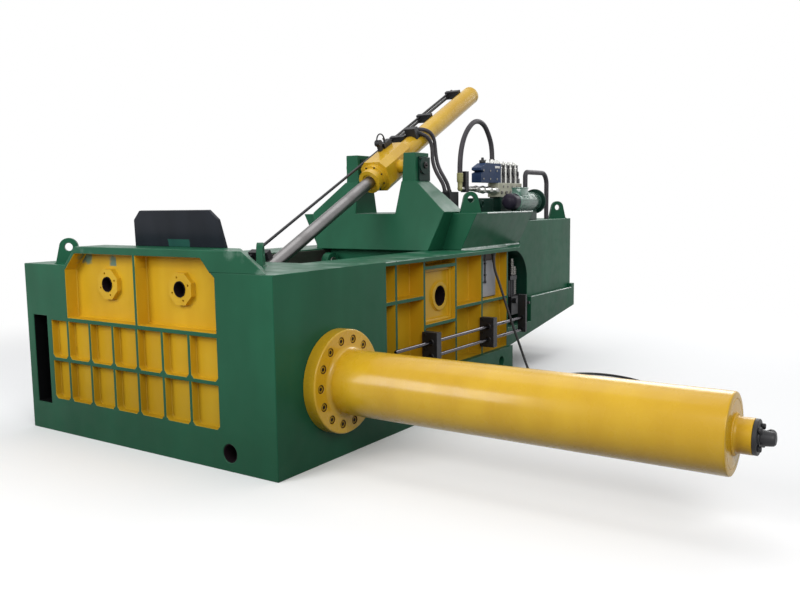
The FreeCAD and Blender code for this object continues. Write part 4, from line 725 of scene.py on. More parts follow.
def dress(finish: Finish, slot: Slot, body: str = "frame", seams: Sequence[tuple[int, float]] = (),
          swell: float = 0.0, **widths: float) -> None:
    """Give CAD nodes that keep their form a finish and softened edges.

    Args:
        finish: Their finish.
        slot: The record's slot they belong to; not used.
        body: The body they ride on.
        seams: Planes, by axis and place, where two solids of one weldment meet and no edge is softened.
        swell: How far their faces are moved out.
        widths: The width of the softened edges, by the node's name.
    """
    for node, width in widths.items():
        mesh = bmesh.new()
        mesh.from_mesh(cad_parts[node].data)
        bmesh.ops.remove_doubles(mesh, verts=mesh.verts, dist=2e-5)
        if swell:
            mesh.normal_update()
            for vert in mesh.verts:
                vert.co += vert.normal * swell
        bmesh.ops.dissolve_limit(mesh, angle_limit=math.radians(0.6), verts=mesh.verts, edges=mesh.edges)
        weight = mesh.edges.layers.float.new("bevel_weight_edge")
        for edge in mesh.edges:
            joined = any(all(abs(vert.co[axis] - place) < 1e-4 for vert in edge.verts) for axis, place in seams)
            sharp = len(edge.link_faces) == 2 and edge.calc_face_angle(0.0) > math.radians(NODE_SMOOTH)
            edge[weight] = 1.0 if sharp and not joined else 0.0
        made = finished(mesh, node + "_dressed", finish, NODE_SMOOTH)
        bevel = made.modifiers.new("softened_edges", "BEVEL")
        bevel.limit_method, bevel.width, bevel.segments = "WEIGHT", width, 2
        evener = made.modifiers.new("even_normals", "WEIGHTED_NORMAL")
        evener.weight, evener.keep_sharp = 100, True
        enrol(made, body, (node,))


# ---------------------------------------------------------------- sub-assemblies

@dataclass
class PressBox:
    """The welded press box: front block, walls, floor, wear plates, ports, ears and guard."""

    front: float = -0.520
    bale_front: float = -0.186
    wall_start: float = 0.640
    wall_top: float = 1.25
    bale_floor: float = 0.24
    port_x: Pair = (-0.563, 0.179)
    port_z: float = 1.122
    port_bore: float = 0.053
    port_face: float = -0.454
    port_ring: float = 0.110
    low_hole: Pair = (0.650, 0.117)
    low_bore: float = 0.060
    rib: float = 0.026
    cell_x: Pair = (-1.147, 0.567)
    first_rib: float = -0.958
    ribs: int = 6
    rows: tuple[Pair, Pair] = ((0.256, 0.538), (0.565, 0.839))
    cell_depth: float = 0.055
    cell_corner: float = 0.022
    upper: Point = (-0.950, -0.189, 0.567)
    upper_z: Pair = (0.869, 1.335)
    upper_depth: float = 0.100
    upper_corner: float = 0.120
    webs: Sequence[float] = (0.870, 0.870, 0.870, 0.870, 0.926)
    wall_ribs: Sequence[float] = (0.840, 1.225, 1.706, 2.152)
    window_ribs: Pair = (0.712, 1.163)
    wall_cells: Point = (0.36, 1.22, 2.621)
    window_face: float = 0.935
    window_axis: Pair = (1.535, 0.920)
    window_bore: float = 0.082
    window_ring: float = 0.116
    window_rim: float = 0.024
    ear_foot: Pair = (0.096, 0.023)
    ears: Sequence[tuple[float, float, float, float]] = (
        (-1.102, -0.370, 45.0, 1.25), (0.490, -0.020, -53.0, 1.25), (0.730, 4.380, 45.0, 1.475),
        (-0.730, 4.380, -45.0, 1.475), (0.806, 2.302, 45.0, 1.567))
    conduit_x: float = 0.951
    proud: float = 0.001

    def build(self) -> None:
        """Dress the CAD nodes, line the bores and lay the weld beads."""
        seams = ((1, self.bale_front), (1, self.wall_start), (2, self.wall_top), (2, self.bale_floor))
        dress(Finish.FRONT, Slot.GREEN, seams=seams[:1], front_block=0.005)
        dress(Finish.FRONT, Slot.GREEN, seams=seams, bale_box=0.005)
        dress(Finish.WALL, Slot.GREEN, seams=seams[1:2], side_wall_right=0.005, side_wall_left=0.005)
        dress(Finish.YELLOW, Slot.YELLOW, window_panel=0.005, port_flanges=0.005)
        dress(Finish.COVER, Slot.STEEL, junction_cover=0.006)
        dress(Finish.PRESS_STEEL, Slot.GREEN, chamber_floor=0.004)
        dress(Finish.PRESS_STEEL, Slot.STEEL, chamber_liners=0.004)
        dress(Finish.GREEN, Slot.GREEN, deck_plate=0.004, lifting_ears=0.006)
        dress(Finish.GUARD, Slot.BLACK, guard_plate=0.003)
        self.bores()
        self.front_welds()
        self.wall_welds()
        self.panel_welds()
        self.ear_welds()
        self.cover_conduit()

    def ear_welds(self) -> None:
        """The beads round the feet of the lifting ears."""
        form = Form()
        wide, thick = self.ear_foot
        for x, y, turn, z in self.ears:
            place = Matrix.Translation((x, y, z + self.proud))
            form.base = place @ Matrix.Rotation(math.radians(turn), 4, "Z")
            form.seams_round([(-wide, -thick, 0), (wide, -thick, 0), (wide, thick, 0), (-wide, thick, 0)])
        form.piece("ear_welds", Finish.GREEN, Slot.GREEN)

    def cover_conduit(self) -> None:
        """The thin black conduit over the pale cover, with its elbow and clips."""
        form = Form()
        x = self.conduit_x
        for y, length, along in ((2.300, 0.250, Along.Z), (2.205, 0.095, Along.Y)):
            form.turned([(0.006, 0.0), (0.006, length)], (x, y, 0.965), along, 16)
        form.box((x - 0.009, 2.289, 0.954), (x + 0.009, 2.311, 0.978), 0.003)
        for z in (1.02, 1.12):
            form.box((x - 0.0075, 2.286, z), (x + 0.0075, 2.314, z + 0.014))
        form.piece("cover_conduit", Finish.BLACK, Slot.BLACK)

    def bores(self) -> None:
        """The dark linings of the ports, the window's bore and the low hole: painted shade deep in the bores."""
        form = Form()
        for x in self.port_x:
            form.sleeve(self.port_bore, 0.15, (x, self.port_face - 0.006, self.port_z), Along.Y, 40)
        form.sleeve(self.window_bore, 0.20, (self.window_face + 0.014, *self.window_axis), Along.MINUS_X)
        x, z = self.low_hole
        form.sleeve(self.low_bore, 0.196, (x, self.front + 0.004, z), Along.Y)
        form.piece("bore_linings", Finish.HOLE_SHADE, Slot.BLACK)

    def cell_columns(self) -> list[Pair]:
        """The columns of small cells.

        Returns:
            The left and right edge of each.
        """
        left, right = self.cell_x
        last = right - self.rib / 2 - (right - left) * 0.14
        pitch = (last - self.first_rib) / (self.ribs - 1)
        middles = [self.first_rib + pitch * index for index in range(self.ribs)]
        return list(zip([left] + [x + self.rib / 2 for x in middles], [x - self.rib / 2 for x in middles] + [right]))

    def front_welds(self) -> None:
        """The beads at the back of the front's cells and round the port flanges."""
        form = Form()
        y, cut = self.front + self.cell_depth - self.proud, self.cell_corner
        for left, right in self.cell_columns():
            for low, high in self.rows:
                form.seams_round([(left, y, low + cut), (left + cut, y, low), (right - cut, y, low),
                                  (right, y, low + cut), (right, y, high), (left, y, high)])
        y, cut = self.front + self.upper_depth - self.proud, self.upper_corner
        low, high = self.upper_z
        left, middle, right = self.upper
        for edge, inner in ((left, middle - self.rib / 2), (right, middle + self.rib / 2)):
            form.seams_round([(edge, y, low), (inner, y, low), (inner, y, high),
                              (edge + math.copysign(cut, inner - edge), y, high), (edge, y, high - cut)], 0.009)
        for x in self.port_x:
            form.seams_round([(x + a, y, self.port_z + b) for a, b in around(8, self.port_ring, math.pi / 8)])
        form.piece("front_welds", Finish.YELLOW, Slot.YELLOW)

    def wall_welds(self) -> None:
        """The beads at the back of the side walls' cells; the window panel's own cell has none."""
        form = Form()
        low, high, end = self.wall_cells
        half = self.rib / 2
        edges = [self.wall_start, *(y + side * half for y in self.wall_ribs for side in (-1, 1)), end]
        for side, middle in ((-1, (0.805,)), (1, self.window_ribs)):
            levels = [(0.940,), (0.940,), middle, (0.805,), (0.805,)]
            for web, level, front, rear in zip(self.webs, levels, edges[0::2], edges[1::2]):
                x = side * (web + self.proud)
                heights = [low, *(z + turn * half for z in level for turn in (-1, 1)), high]
                for index, (foot, top) in enumerate(zip(heights[0::2], heights[1::2])):
                    if len(level) == 1 or index != 1:
                        form.seams_round([(x, front, foot), (x, rear, foot), (x, rear, top), (x, front, top)])
        form.piece("wall_welds", Finish.YELLOW, Slot.YELLOW)

    def panel_welds(self) -> None:
        """The beads inside the window panel's rim and round its ring."""
        form = Form()
        inset = self.rib / 2 + self.window_rim
        front, rear = self.wall_ribs[1] + inset, self.wall_ribs[2] - inset
        low, high = self.window_ribs[0] + inset, self.window_ribs[1] - inset
        x = self.window_face + self.proud
        form.seams_round([(x, front, low), (x, rear, low), (x, rear, high), (x, front, high)], 0.007)
        form.bead(0.006, self.window_ring + 0.002, (x, *self.window_axis), Along.X, 50)
        form.piece("panel_welds", Finish.YELLOW, Slot.YELLOW)


@dataclass
class Housing:
    """The rear housing, its skirts, the boxes on the walls, the yoke and the main cylinder."""

    box_top: float = 1.565
    box_brow: float = 0.956
    box_foot: float = 0.803
    wall_top: float = 1.25
    box_y: Pair = (2.34, 3.26)
    foot_front: float = 2.145
    skirt: float = 0.8595
    skirt_top: float = 0.7145
    skirt_front: Pair = (2.66, 3.455)
    skirt_rear: float = 4.485
    bearing_face: float = 0.395
    bearing_boss: float = 0.016
    screw_circle: float = 0.078
    trunnion: Pair = (2.195, 1.992)

    def build(self) -> None:
        """Dress the CAD nodes, lay the welds and set the bearings' screws."""
        dress(Finish.HOUSING, Slot.GREEN, rear_housing=0.006)
        dress(Finish.GREEN, Slot.GREEN, rear_skirts=0.005, top_boxes=0.005, yoke=0.006)
        dress(Finish.DARK_GREEN, Slot.DARK_GREEN, trunnion_bearings=0.004)
        dress(Finish.GLOSSY_YELLOW, Slot.YELLOW, main_cylinder_tube=0.004)
        dress(Finish.PRESS_STEEL, Slot.STEEL, "main_ram", main_ram_head=0.006)
        dress(Finish.CHROME, Slot.CHROME, "main_ram", main_ram_rod=0.004)
        self.welds()
        self.bearing_screws()

    def welds(self) -> None:
        """The beads along the top boxes' upper and lower outer edges and over the skirts, coloured near white as
        painted highlights.
        """
        form = Form()
        front, rear = self.box_y
        for side, start in zip((-1, 1), self.skirt_front):
            brow, foot, skirt = side * self.box_brow, side * self.box_foot, side * self.skirt
            form.seam((brow, front, self.box_top), (brow, rear, self.box_top), 0.007)
            form.seam((foot, self.foot_front, self.wall_top + 0.001), (foot, rear, self.wall_top + 0.002), 0.013)
            form.seam((skirt, start, self.skirt_top), (skirt, self.skirt_rear, self.skirt_top), 0.005)
        form.piece("box_welds", Finish.WELD_HIGHLIGHT, Slot.GREEN)

    def bearing_screws(self) -> None:
        """Four hex screws and a lubrication nipple on each trunnion bearing."""
        form = Form()
        y, z = self.trunnion
        nipple = [(0.030, 0.0), (0.030, 0.008), (0.026, 0.012), (0.008, 0.012), (0.008, 0.022), (0.004, 0.028)]
        for side, along in ((1, Along.X), (-1, Along.MINUS_X)):
            for a, b in around(4, self.screw_circle, math.pi / 4):
                form.bar(6, 0.013, 0.010, (side * self.bearing_face, y + a, z + b), along, 0.002)
            form.turned(nipple, (side * (self.bearing_face + self.bearing_boss), y, z), along)
        form.piece("bearing_screws", Finish.BLACK_OXIDE, Slot.DARK_GREEN)


class LidGroup:
    """The lid with its lugs, hinge pins and eye pin."""

    def build(self) -> None:
        """Dress the CAD nodes."""
        dress(Finish.GREEN, Slot.GREEN, "lid", lid=0.004, lid_lugs=0.004)
        dress(Finish.STEEL, Slot.STEEL, "lid", eye_pin=0.003)
        dress(Finish.STEEL, Slot.STEEL, hinge_pins=0.003)


class GateGroup:
    """The gate with its cover, cylinder and rod."""

    def build(self) -> None:
        """Dress the CAD nodes."""
        dress(Finish.PRESS_STEEL, Slot.STEEL, "gate", gate_plate=0.004)
        dress(Finish.CHROME, Slot.CHROME, "gate", gate_rod=0.002)
        dress(Finish.GREEN, Slot.GREEN, gate_cover=0.004)
        dress(Finish.GLOSSY_YELLOW, Slot.YELLOW, gate_cylinder_tube=0.003)


@dataclass
class SideCylinder:
    """The large side cylinder with its bolted flange, boss and hose fitting; Y and Z count from its axis."""

    axis: Pair = (0.064, 0.522)
    back: float = 1.05
    flange: float = 0.093
    tube: float = 0.209
    inner: float = 0.16
    end: float = 3.501
    bolts: int = 14
    circle: float = 0.275
    counterbore: float = 0.027
    boss_end: float = 3.591
    plate_circle: float = 0.064

    def build(self) -> None:
        """Build every piece of the cylinder."""
        dress(Finish.GLOSSY_YELLOW, Slot.YELLOW, side_cylinder_flange=0.003, side_cylinder_boss=0.004)
        dress(Finish.PRESS_STEEL, Slot.STEEL, "side_ram", side_ram_head=0.006)
        dress(Finish.CHROME, Slot.CHROME, "side_ram", side_ram_rod=0.004)
        self.tube_piece()
        self.bolt_heads()
        self.fitting()

    def form(self) -> Form:
        """A form that stands on the cylinder's axis."""
        return Form(Matrix.Translation((0.0, *self.axis)))

    def tube_piece(self) -> None:
        """The tube with a turned shoulder, a chamfered rear rim and its rear cap's weld."""
        length, tube, inner = self.end - self.back, self.tube, self.inner
        profile = [(inner, 0.09), (tube, 0.09), (tube, length - 0.012), (tube - 0.003, length - 0.004),
                   (tube - 0.012, length), (tube - 0.034, length), (tube - 0.037, length - 0.003),
                   (tube - 0.040, length), (0.0, length), (0.0, length - 0.06), (inner, length - 0.06)]
        form = self.form().turned(profile, (self.back, 0, 0), Along.X, 128, ring=True)
        form.bead(0.007, 0.0985, (self.end + 0.004, 0, 0), Along.X, 60)
        form.piece("side_cylinder_shell", Finish.GLOSSY_YELLOW, Slot.YELLOW, "side_cylinder_tube")

    def bolt_heads(self) -> None:
        """Painted socket head screws deep in the counterbores, each with a dark socket and a dark brown ring round it,
        both painted shade.
        """
        heads, sockets, seats = self.form(), self.form(), self.form()
        face, wall = self.back + self.flange, self.counterbore - 0.0002
        head = [(0.0205, 0.0), (0.0205, 0.0115), (0.0190, 0.013), (0.0138, 0.013), (0.0130, 0.004)]
        seat = [(0.0218, 0.0), (wall, 0.0), (wall, 0.0158), (wall - 0.002, 0.0158), (wall - 0.002, 0.002),
                (0.0218, 0.002)]
        for y, z in around(self.bolts, self.circle):
            heads.turned(head, (face - 0.016, y, z), Along.X, 24)
            sockets.bar(6, 0.0136, 0.0074, (face - 0.0118, y, z), Along.X, 0.0004)
            seats.turned(seat, (face - 0.0159, y, z), Along.X, ring=True)
        heads.piece("flange_screws", Finish.YELLOW, Slot.STEEL, "side_flange_bolts")
        sockets.piece("flange_screw_sockets", Finish.HOLE_SHADE, Slot.STEEL)
        seats.piece("flange_screw_seats", Finish.SEAT_SHADE, Slot.STEEL)

    def fitting(self) -> None:
        """The bolted port plate with a blunt tapered nose and the hose nozzle to the rear."""
        form, foot = self.form(), self.boss_end
        plate, nozzle_x = foot + 0.022, foot + 0.060
        disc = [(0.0865, 0.0), (0.089, 0.0025), (0.089, 0.019), (0.086, 0.022)]
        form.turned(disc, (foot, 0, 0), Along.X, 56)
        nose = [(0.052, 0.0), (0.050, 0.006), (0.041, 0.010), (0.0385, 0.030), (0.0355, 0.056), (0.0335, 0.066),
                (0.027, 0.0735), (0.014, 0.0765), (0.0, 0.077)]
        form.turned(nose, (plate, 0, 0), Along.X, 40)
        nozzle = [(0.024, 0.0), (0.024, 0.042), (0.029, 0.044), (0.029, 0.064), (0.023, 0.068), (0.023, 0.095),
                  (0.018, 0.095), (0.018, 0.020)]
        form.turned(nozzle, (nozzle_x, 0, 0), Along.Y)
        form.bar(6, 0.0325, 0.018, (nozzle_x, 0.045, 0), Along.Y)
        for y, z in around(4, self.plate_circle, math.pi / 4):
            form.bar(24, 0.0145, 0.018, (plate, y, z), Along.X, 0.003)
            form.bar(6, 0.0085, 0.0005, (foot + 0.040, y, z), Along.X, 0.0001)
        form.piece("side_port_nose", Finish.BLACK, Slot.YELLOW, "side_port_fitting")


@dataclass
class LidCylinder:
    """The lid cylinder over the box: turned tube, faceted head, rod, stroke bar and its guides."""

    trunnion: Pair = (2.195, 1.992)
    eye: Pair = (0.480, 1.123)
    tube: float = 0.092
    inner: float = 0.07
    block_rear: float = 0.225
    tube_end: float = 1.77
    nose_front: float = -0.245
    nose_circle: float = 0.113
    head_screws: Pair = (0.112, 0.05)
    conduit_x: float = -0.055

    def build(self) -> None:
        """Build every piece of the cylinder."""
        dress(Finish.GLOSSY_YELLOW, Slot.YELLOW, "lid_cylinder", lid_trunnion_block=0.004)
        dress(Finish.BLACK, Slot.BLACK, "lid_cylinder", stroke_guides=0.002, lid_cylinder_fittings=0.003)
        dress(Finish.BLACK, Slot.BLACK, "lid_rod", stroke_bar=0.002)
        dress(Finish.ROD, Slot.CHROME, "lid_rod", lid_rod=0.004)
        self.shell()
        self.screws()
        self.conduit()

    def form(self) -> Form:
        """A form in the cylinder's own axes, with Y along it from the trunnion."""
        (y, z), (eye_y, eye_z) = self.trunnion, self.eye
        return Form(Matrix.Translation((0.0, y, z)) @ Matrix.Rotation(math.atan2(z - eye_z, y - eye_y), 4, "X"))

    def shell(self) -> None:
        """The tube with its groove and rear cap, and a weld bead at the head."""
        start, end, inner, tube = self.block_rear, self.tube_end, self.inner, self.tube
        profile = [(inner, start), (tube, start), (tube, end - 0.052), (tube - 0.003, end - 0.049),
                   (tube - 0.003, end - 0.044), (tube, end - 0.041), (tube, end - 0.008), (tube - 0.006, end),
                   (0.0, end), (0.0, end - 0.04), (inner, end - 0.04)]
        form = self.form().turned(profile, (0, 0, 0), Along.Y, 72, ring=True)
        form.bead(0.007, tube + 0.002, (0, start + 0.002, 0), Along.Y, 60)
        form.piece("lid_cylinder_shell", Finish.GLOSSY_YELLOW, Slot.YELLOW, "lid_cylinder_tube", body="lid_cylinder")

    def screws(self) -> None:
        """The socket screws round the nose and on the head's rear face."""
        form = self.form()
        for x, z in around(8, self.nose_circle, math.pi / 8):
            form.bar(24, 0.0075, 0.008, (x, self.nose_front, z), Along.MINUS_Y, 0.001)
        wide, high = self.head_screws
        for x in (-wide, wide):
            for z in (-high, high):
                form.bar(24, 0.013, 0.012, (x, self.block_rear, z), Along.Y, 0.002)
        form.piece("lid_head_screws", Finish.BLACK_OXIDE, Slot.BLACK, body="lid_cylinder")

    def conduit(self) -> None:
        """The ring of rigid conduit between the switch post and the switch box, with its two unions."""
        form = self.form().bead(0.0065, 0.060, (self.conduit_x, 0.088, 0.222), Along.X)
        for y in (0.034, 0.142):
            form.bar(6, 0.012, 0.026, (self.conduit_x, y, 0.200))
        form.piece("switch_conduit", Finish.BLACK, Slot.BLACK, body="lid_cylinder")


@dataclass
class TripGear:
    """The polished rods on the right wall, their guide blocks and the bracket at the rear."""

    x: float = 1.081
    heights: Pair = (0.495, 0.605)
    radius: float = 0.014
    chamfer: float = 0.003
    bush_bore: float = 0.0144
    front: float = 0.700
    rear: float = 2.795
    block: float = 0.066
    block_fronts: Pair = (1.182, 2.109)
    screw_x: float = 1.030
    screw_heights: Sequence[float] = (0.447, 0.550, 0.660)

    def build(self) -> None:
        """Dress the blocks and the bracket, and build the rods and the bushes."""
        dress(Finish.BLACK, Slot.BLACK, guide_blocks=0.004)
        dress(Finish.BLACK, Slot.BLACK, "trip_rods", trip_bracket=0.003)
        form, length, cut = Form(), self.rear - self.front, self.chamfer
        rod = [(self.radius - cut, 0.0), (self.radius, cut), (self.radius, length - cut), (self.radius - cut, length)]
        for z in self.heights:
            form.turned(rod, (self.x, self.front, z), Along.Y, 32)
        form.piece("polished_rods", Finish.GUIDE_ROD_DARK_REFLECTION, Slot.CHROME, "trip_rods", body="trip_rods")
        self.bushes()

    def bushes(self) -> None:
        """The flanged bushes where the rods enter the guide blocks, and the blocks' hex screws."""
        form = Form()
        ring = [(self.bush_bore, 0.0), (0.026, 0.0), (0.026, 0.005), (0.023, 0.008), (self.bush_bore, 0.008)]
        for front in self.block_fronts:
            for y, along in ((front, Along.MINUS_Y), (front + self.block, Along.Y)):
                for z in self.heights:
                    form.turned(ring, (self.x, y, z), along, ring=True)
            for z in self.screw_heights:
                form.bar(6, 0.0115, 0.008, (self.screw_x, front, z), Along.MINUS_Y)
        form.piece("rod_bushes", Finish.BLACK_OXIDE, Slot.BLACK)


@dataclass
class Hydraulics:
    """The valves, the motor and the pipework on the housing and the right top box."""

    x: float = 0.480
    manifold_y: Pair = (3.363, 3.890)
    manifold_z: Pair = (1.710, 1.850)
    half: float = 0.062
    solenoid_front: float = 3.442
    solenoids: int = 4
    solenoid_gap: float = 0.008
    solenoid_levels: Pair = (1.902, 1.975)
    hose_x: float = 0.450
    hose_rear: float = 3.395
    run_z: float = 1.790
    runs: Sequence[Point] = ((0.450, 1.790, 2.915), (0.526, 1.774, 2.975))
    unions: Sequence[float] = (0.048, 0.190, 0.330)
    foot_y: float = 2.744
    valve_side: float = 0.052
    valve_top: float = 2.040
    cap_nuts: Sequence[Point] = (
        (0.500, 3.180, 0.018), (0.462, 3.235, 0.022), (0.502, 3.285, 0.024), (0.505, 3.345, 0.020),
        (0.508, 3.400, 0.020))
    motor_at: Pair = (0.750, 1.6623)
    motor_y: Pair = (3.200, 3.740)
    motor: float = 0.095
    motor_foot: Pair = (3.330, 1.475)
    flange_circle: float = 0.104

    def build(self) -> None:
        """Build every piece of the group."""
        dress(Finish.DARK_GREEN, Slot.DARK_GREEN, valve_stand=0.003)
        dress(Finish.PALE, Slot.PALE, manifold=0.003)
        dress(Finish.BLUE, Slot.BLUE, valve_body=0.004)
        dress(Finish.BLACK, Slot.BLACK, line_blocks=0.003)
        dress(Finish.RUBBER, Slot.RUBBER, swell=0.003, rigid_pipe=0.001)
        self.solenoid_row()
        self.valve_caps()
        self.plugs()
        self.pipework()
        self.hose_ends()
        self.motor_pieces()

    def solenoid_row(self) -> None:
        """Four small valves, each with a body, a round coil, a bright tie rod, a connector and a nut."""
        bodies, caps = Form(), Form()
        x, foot, gap = self.x, self.manifold_z[1], self.solenoid_gap
        base, top = self.solenoid_levels
        pitch = (self.manifold_y[1] - self.solenoid_front) / self.solenoids
        coil = [(0.038, 0.0), (0.040, 0.003), (0.040, 0.062), (0.036, 0.068), (0.024, 0.070)]
        tie = [(0.0135, 0.0), (0.0150, 0.002), (0.0150, 0.150), (0.0105, 0.156), (0.0105, 0.196), (0.0075, 0.200)]
        for index in range(self.solenoids):
            low = self.solenoid_front + pitch * index
            high = low + pitch - gap
            middle = (low + high) / 2
            bodies.box((x - 0.046, low, foot), (x + 0.044, high, base), 0.003)
            bodies.box((x - 0.040, low + gap, base), (x + 0.036, high - gap, top), 0.004)
            bodies.turned(coil, (x, middle, 1.970))
            bodies.box((x + 0.030, middle - 0.014, 1.925), (x + 0.052, middle + 0.014, 1.966), 0.003)
            caps.turned(tie, (x + 0.040, low - 0.003, foot), steps=20)
            caps.bar(12, 0.025, 0.016, (x, middle, 2.039), bevel=0.002)
            caps.bar(6, 0.018, 0.016, (x, middle, 2.055), bevel=0.003)
            for side in (-1, 1):
                caps.bar(6, 0.012, 0.014, (x + side * 0.030, middle + 0.018, 2.030), bevel=0.002)
        bodies.piece("solenoid_bodies", Finish.BLACK, Slot.STEEL, "solenoid_valves")
        caps.piece("solenoid_caps", Finish.ZINC, Slot.STEEL)

    def valve_caps(self) -> None:
        """The bright domed nuts and the small pilot block on the large valve, and its bare plate."""
        form, top, face = Form(), self.valve_top, self.x + self.valve_side
        for x, y, size in self.cap_nuts:
            form.bar(6, size, size * 0.9, (x, y, top), bevel=0.002)
            dome = [(size * 0.82, 0.0), (size * 0.80, size * 0.35), (size * 0.55, size * 0.75), (0.0, size * 0.92)]
            form.turned(dome, (x, y, top + size * 0.88), steps=20)
        form.box((face, 3.300, 1.992), (face + 0.0015, 3.400, 2.014), 0.0005)
        form.piece("valve_cap_nuts", Finish.ZINC, Slot.STEEL)
        pilot = Form().box((self.x - 0.034, 3.128, top - 0.001), (self.x + 0.020, 3.168, top + 0.030), 0.004)
        button = [(0.014, 0.0), (0.014, 0.018), (0.010, 0.024)]
        pilot.turned(button, (self.x - 0.006, 3.148, top + 0.030), steps=20)
        pilot.piece("pilot_block", Finish.BLACK, Slot.BLACK)

    def plugs(self) -> None:
        """Hex plugs on the manifold's side and cover screws on the large valve."""
        form = Form()
        side, (foot, top) = self.x + self.half, self.manifold_z
        for index in range(5):
            y = self.manifold_y[0] + 0.06 + 0.10 * index
            form.bar(6, 0.020, 0.012, (side, y, foot + 0.045), Along.X)
            form.bar(24, 0.012, 0.006, (side, y + 0.04, top - 0.035), Along.X)
        for y in (3.06, 3.20, 3.34):
            for z in (1.885, 1.965):
                form.bar(24, 0.010, 0.006, (self.x + self.valve_side, y, z), Along.X, 0.002)
        form.piece("plugs_and_screws", Finish.STEEL, Slot.STEEL)

    def pipework(self) -> None:
        """The steel runs between the large hose's foot and the manifold, with hex unions and collars."""
        form, end = Form(), self.manifold_y[0]
        for x, z, start in self.runs:
            form.turned([(0.022, 0.0), (0.024, 0.002), (0.024, end - start)], (x, start, z), Along.Y)
            for back in self.unions:
                form.bar(6, 0.032, 0.048, (x, end - back, z), Along.Y, 0.004)
                collar = [(0.028, 0.0), (0.028, 0.008), (0.024, 0.010)]
                form.turned(collar, (x, end - back - 0.010, z), Along.Y, 24)
        form.turned([(0.020, 0.0), (0.020, 0.171)], (self.hose_x, self.foot_y, self.run_z), Along.Y, 24)
        form.piece("pressure_pipework", Finish.ZINC, Slot.STEEL, "pressure_line")

    def hose_ends(self) -> None:
        """The large hose's crimped ferrule, neck and elbow at the front foot, and its collar on the valve."""
        crimps = [pair for low in (0.063, 0.085, 0.107)
                  for pair in ((0.030, low), (0.030, low + 0.017), (0.0275, low + 0.019))]
        elbow = [(0.0, -0.026), (0.012, -0.023), (0.022, -0.013), (0.026, 0.0), (0.023, 0.012), (0.023, 0.058),
                 (0.0285, 0.060), *crimps, (0.030, 0.129), (0.030, 0.142), (0.026, 0.1455)]
        form = Form().turned(elbow, (self.hose_x, self.foot_y, self.run_z), steps=36)
        form.piece("hose_foot_ferrule", Finish.FERRULE, Slot.STEEL)
        collar = [(0.0245, 0.0), (0.0290, 0.0), (0.0292, 0.004), (0.0292, 0.020), (0.0285, 0.022), (0.0292, 0.024),
                  (0.0292, 0.043), (0.0270, 0.046), (0.0245, 0.046)]
        form = Form().turned(collar, (self.hose_x, self.hose_rear, self.valve_top + 0.0005), steps=32, ring=True)
        form.piece("hose_end_collar", Finish.BLACK_OXIDE, Slot.BLACK)

    def motor_pieces(self) -> None:
        """The motor: dark fan cover, bright finned body, dark end flange, terminal box, pipe boss and foot."""
        x, z = self.motor_at
        front, rear = self.motor_y
        brow = z + self.motor + 0.030
        shell = [(0.036, -0.060), (0.058, -0.053), (0.072, -0.038), (0.079, -0.018), (0.081, 0.0), (0.081, 0.070),
                 (0.078, 0.074)]
        cover = Form().turned(shell, (x, front, z), Along.Y, 48)
        cover.boxes_round(10, self.motor_at, (-0.004, front - 0.052, 0.030), (0.004, front - 0.046, 0.060), 0.0015)
        cover.piece("motor_fan_cover", Finish.FAN, Slot.BLACK)
        case = [(0.078, 0.074), (0.086, 0.082), (0.086, rear - front)]
        form = Form().turned(case, (x, front, z), Along.Y, 56)
        form.boxes_round(40, self.motor_at, (-0.0022, front + 0.10, 0.084), (0.0022, rear - 0.03, self.motor), 0.0008)
        form.box((x - 0.028, front + 0.090, z + 0.06), (x + 0.071, front + 0.250, brow), 0.004)
        form.box((x - 0.033, front + 0.086, brow), (x + 0.076, front + 0.254, z + 0.137), 0.004)
        form.piece("finned_motor", Finish.MOTOR, Slot.DARK_GREEN, "motor")
        disc = [(0.122, 0.0), (0.124, 0.003), (0.124, 0.026), (0.114, 0.036), (0.040, 0.036)]
        flange = Form().turned(disc, (x, rear, z), Along.Y, 56)
        for a, b in around(6, self.flange_circle, math.pi / 6):
            flange.bar(6, 0.011, 0.010, (x + a, rear + 0.032, z + b), Along.Y)
        boss = [(0.029, 0.0), (0.029, 0.08), (0.033, 0.083), (0.033, 0.103), (0.026, 0.1127)]
        flange.turned(boss, (x - 0.050, rear - 0.100, z))
        flange.box((x - 0.052, *self.motor_foot), (x + 0.052, rear - 0.040, z - 0.05), 0.003)
        flange.piece("motor_flange_and_foot", Finish.DARK_GREEN, Slot.DARK_GREEN)


class ServiceBay:
    """The valve block in the bay, its steel tubes, header, lever and ribbed hoses."""

    def build(self) -> None:
        """Dress the nodes of the bay."""
        dress(Finish.BLACK, Slot.BLACK, bay_valves=0.003)
        dress(Finish.STEEL, Slot.STEEL, bay_hoses=0.001)


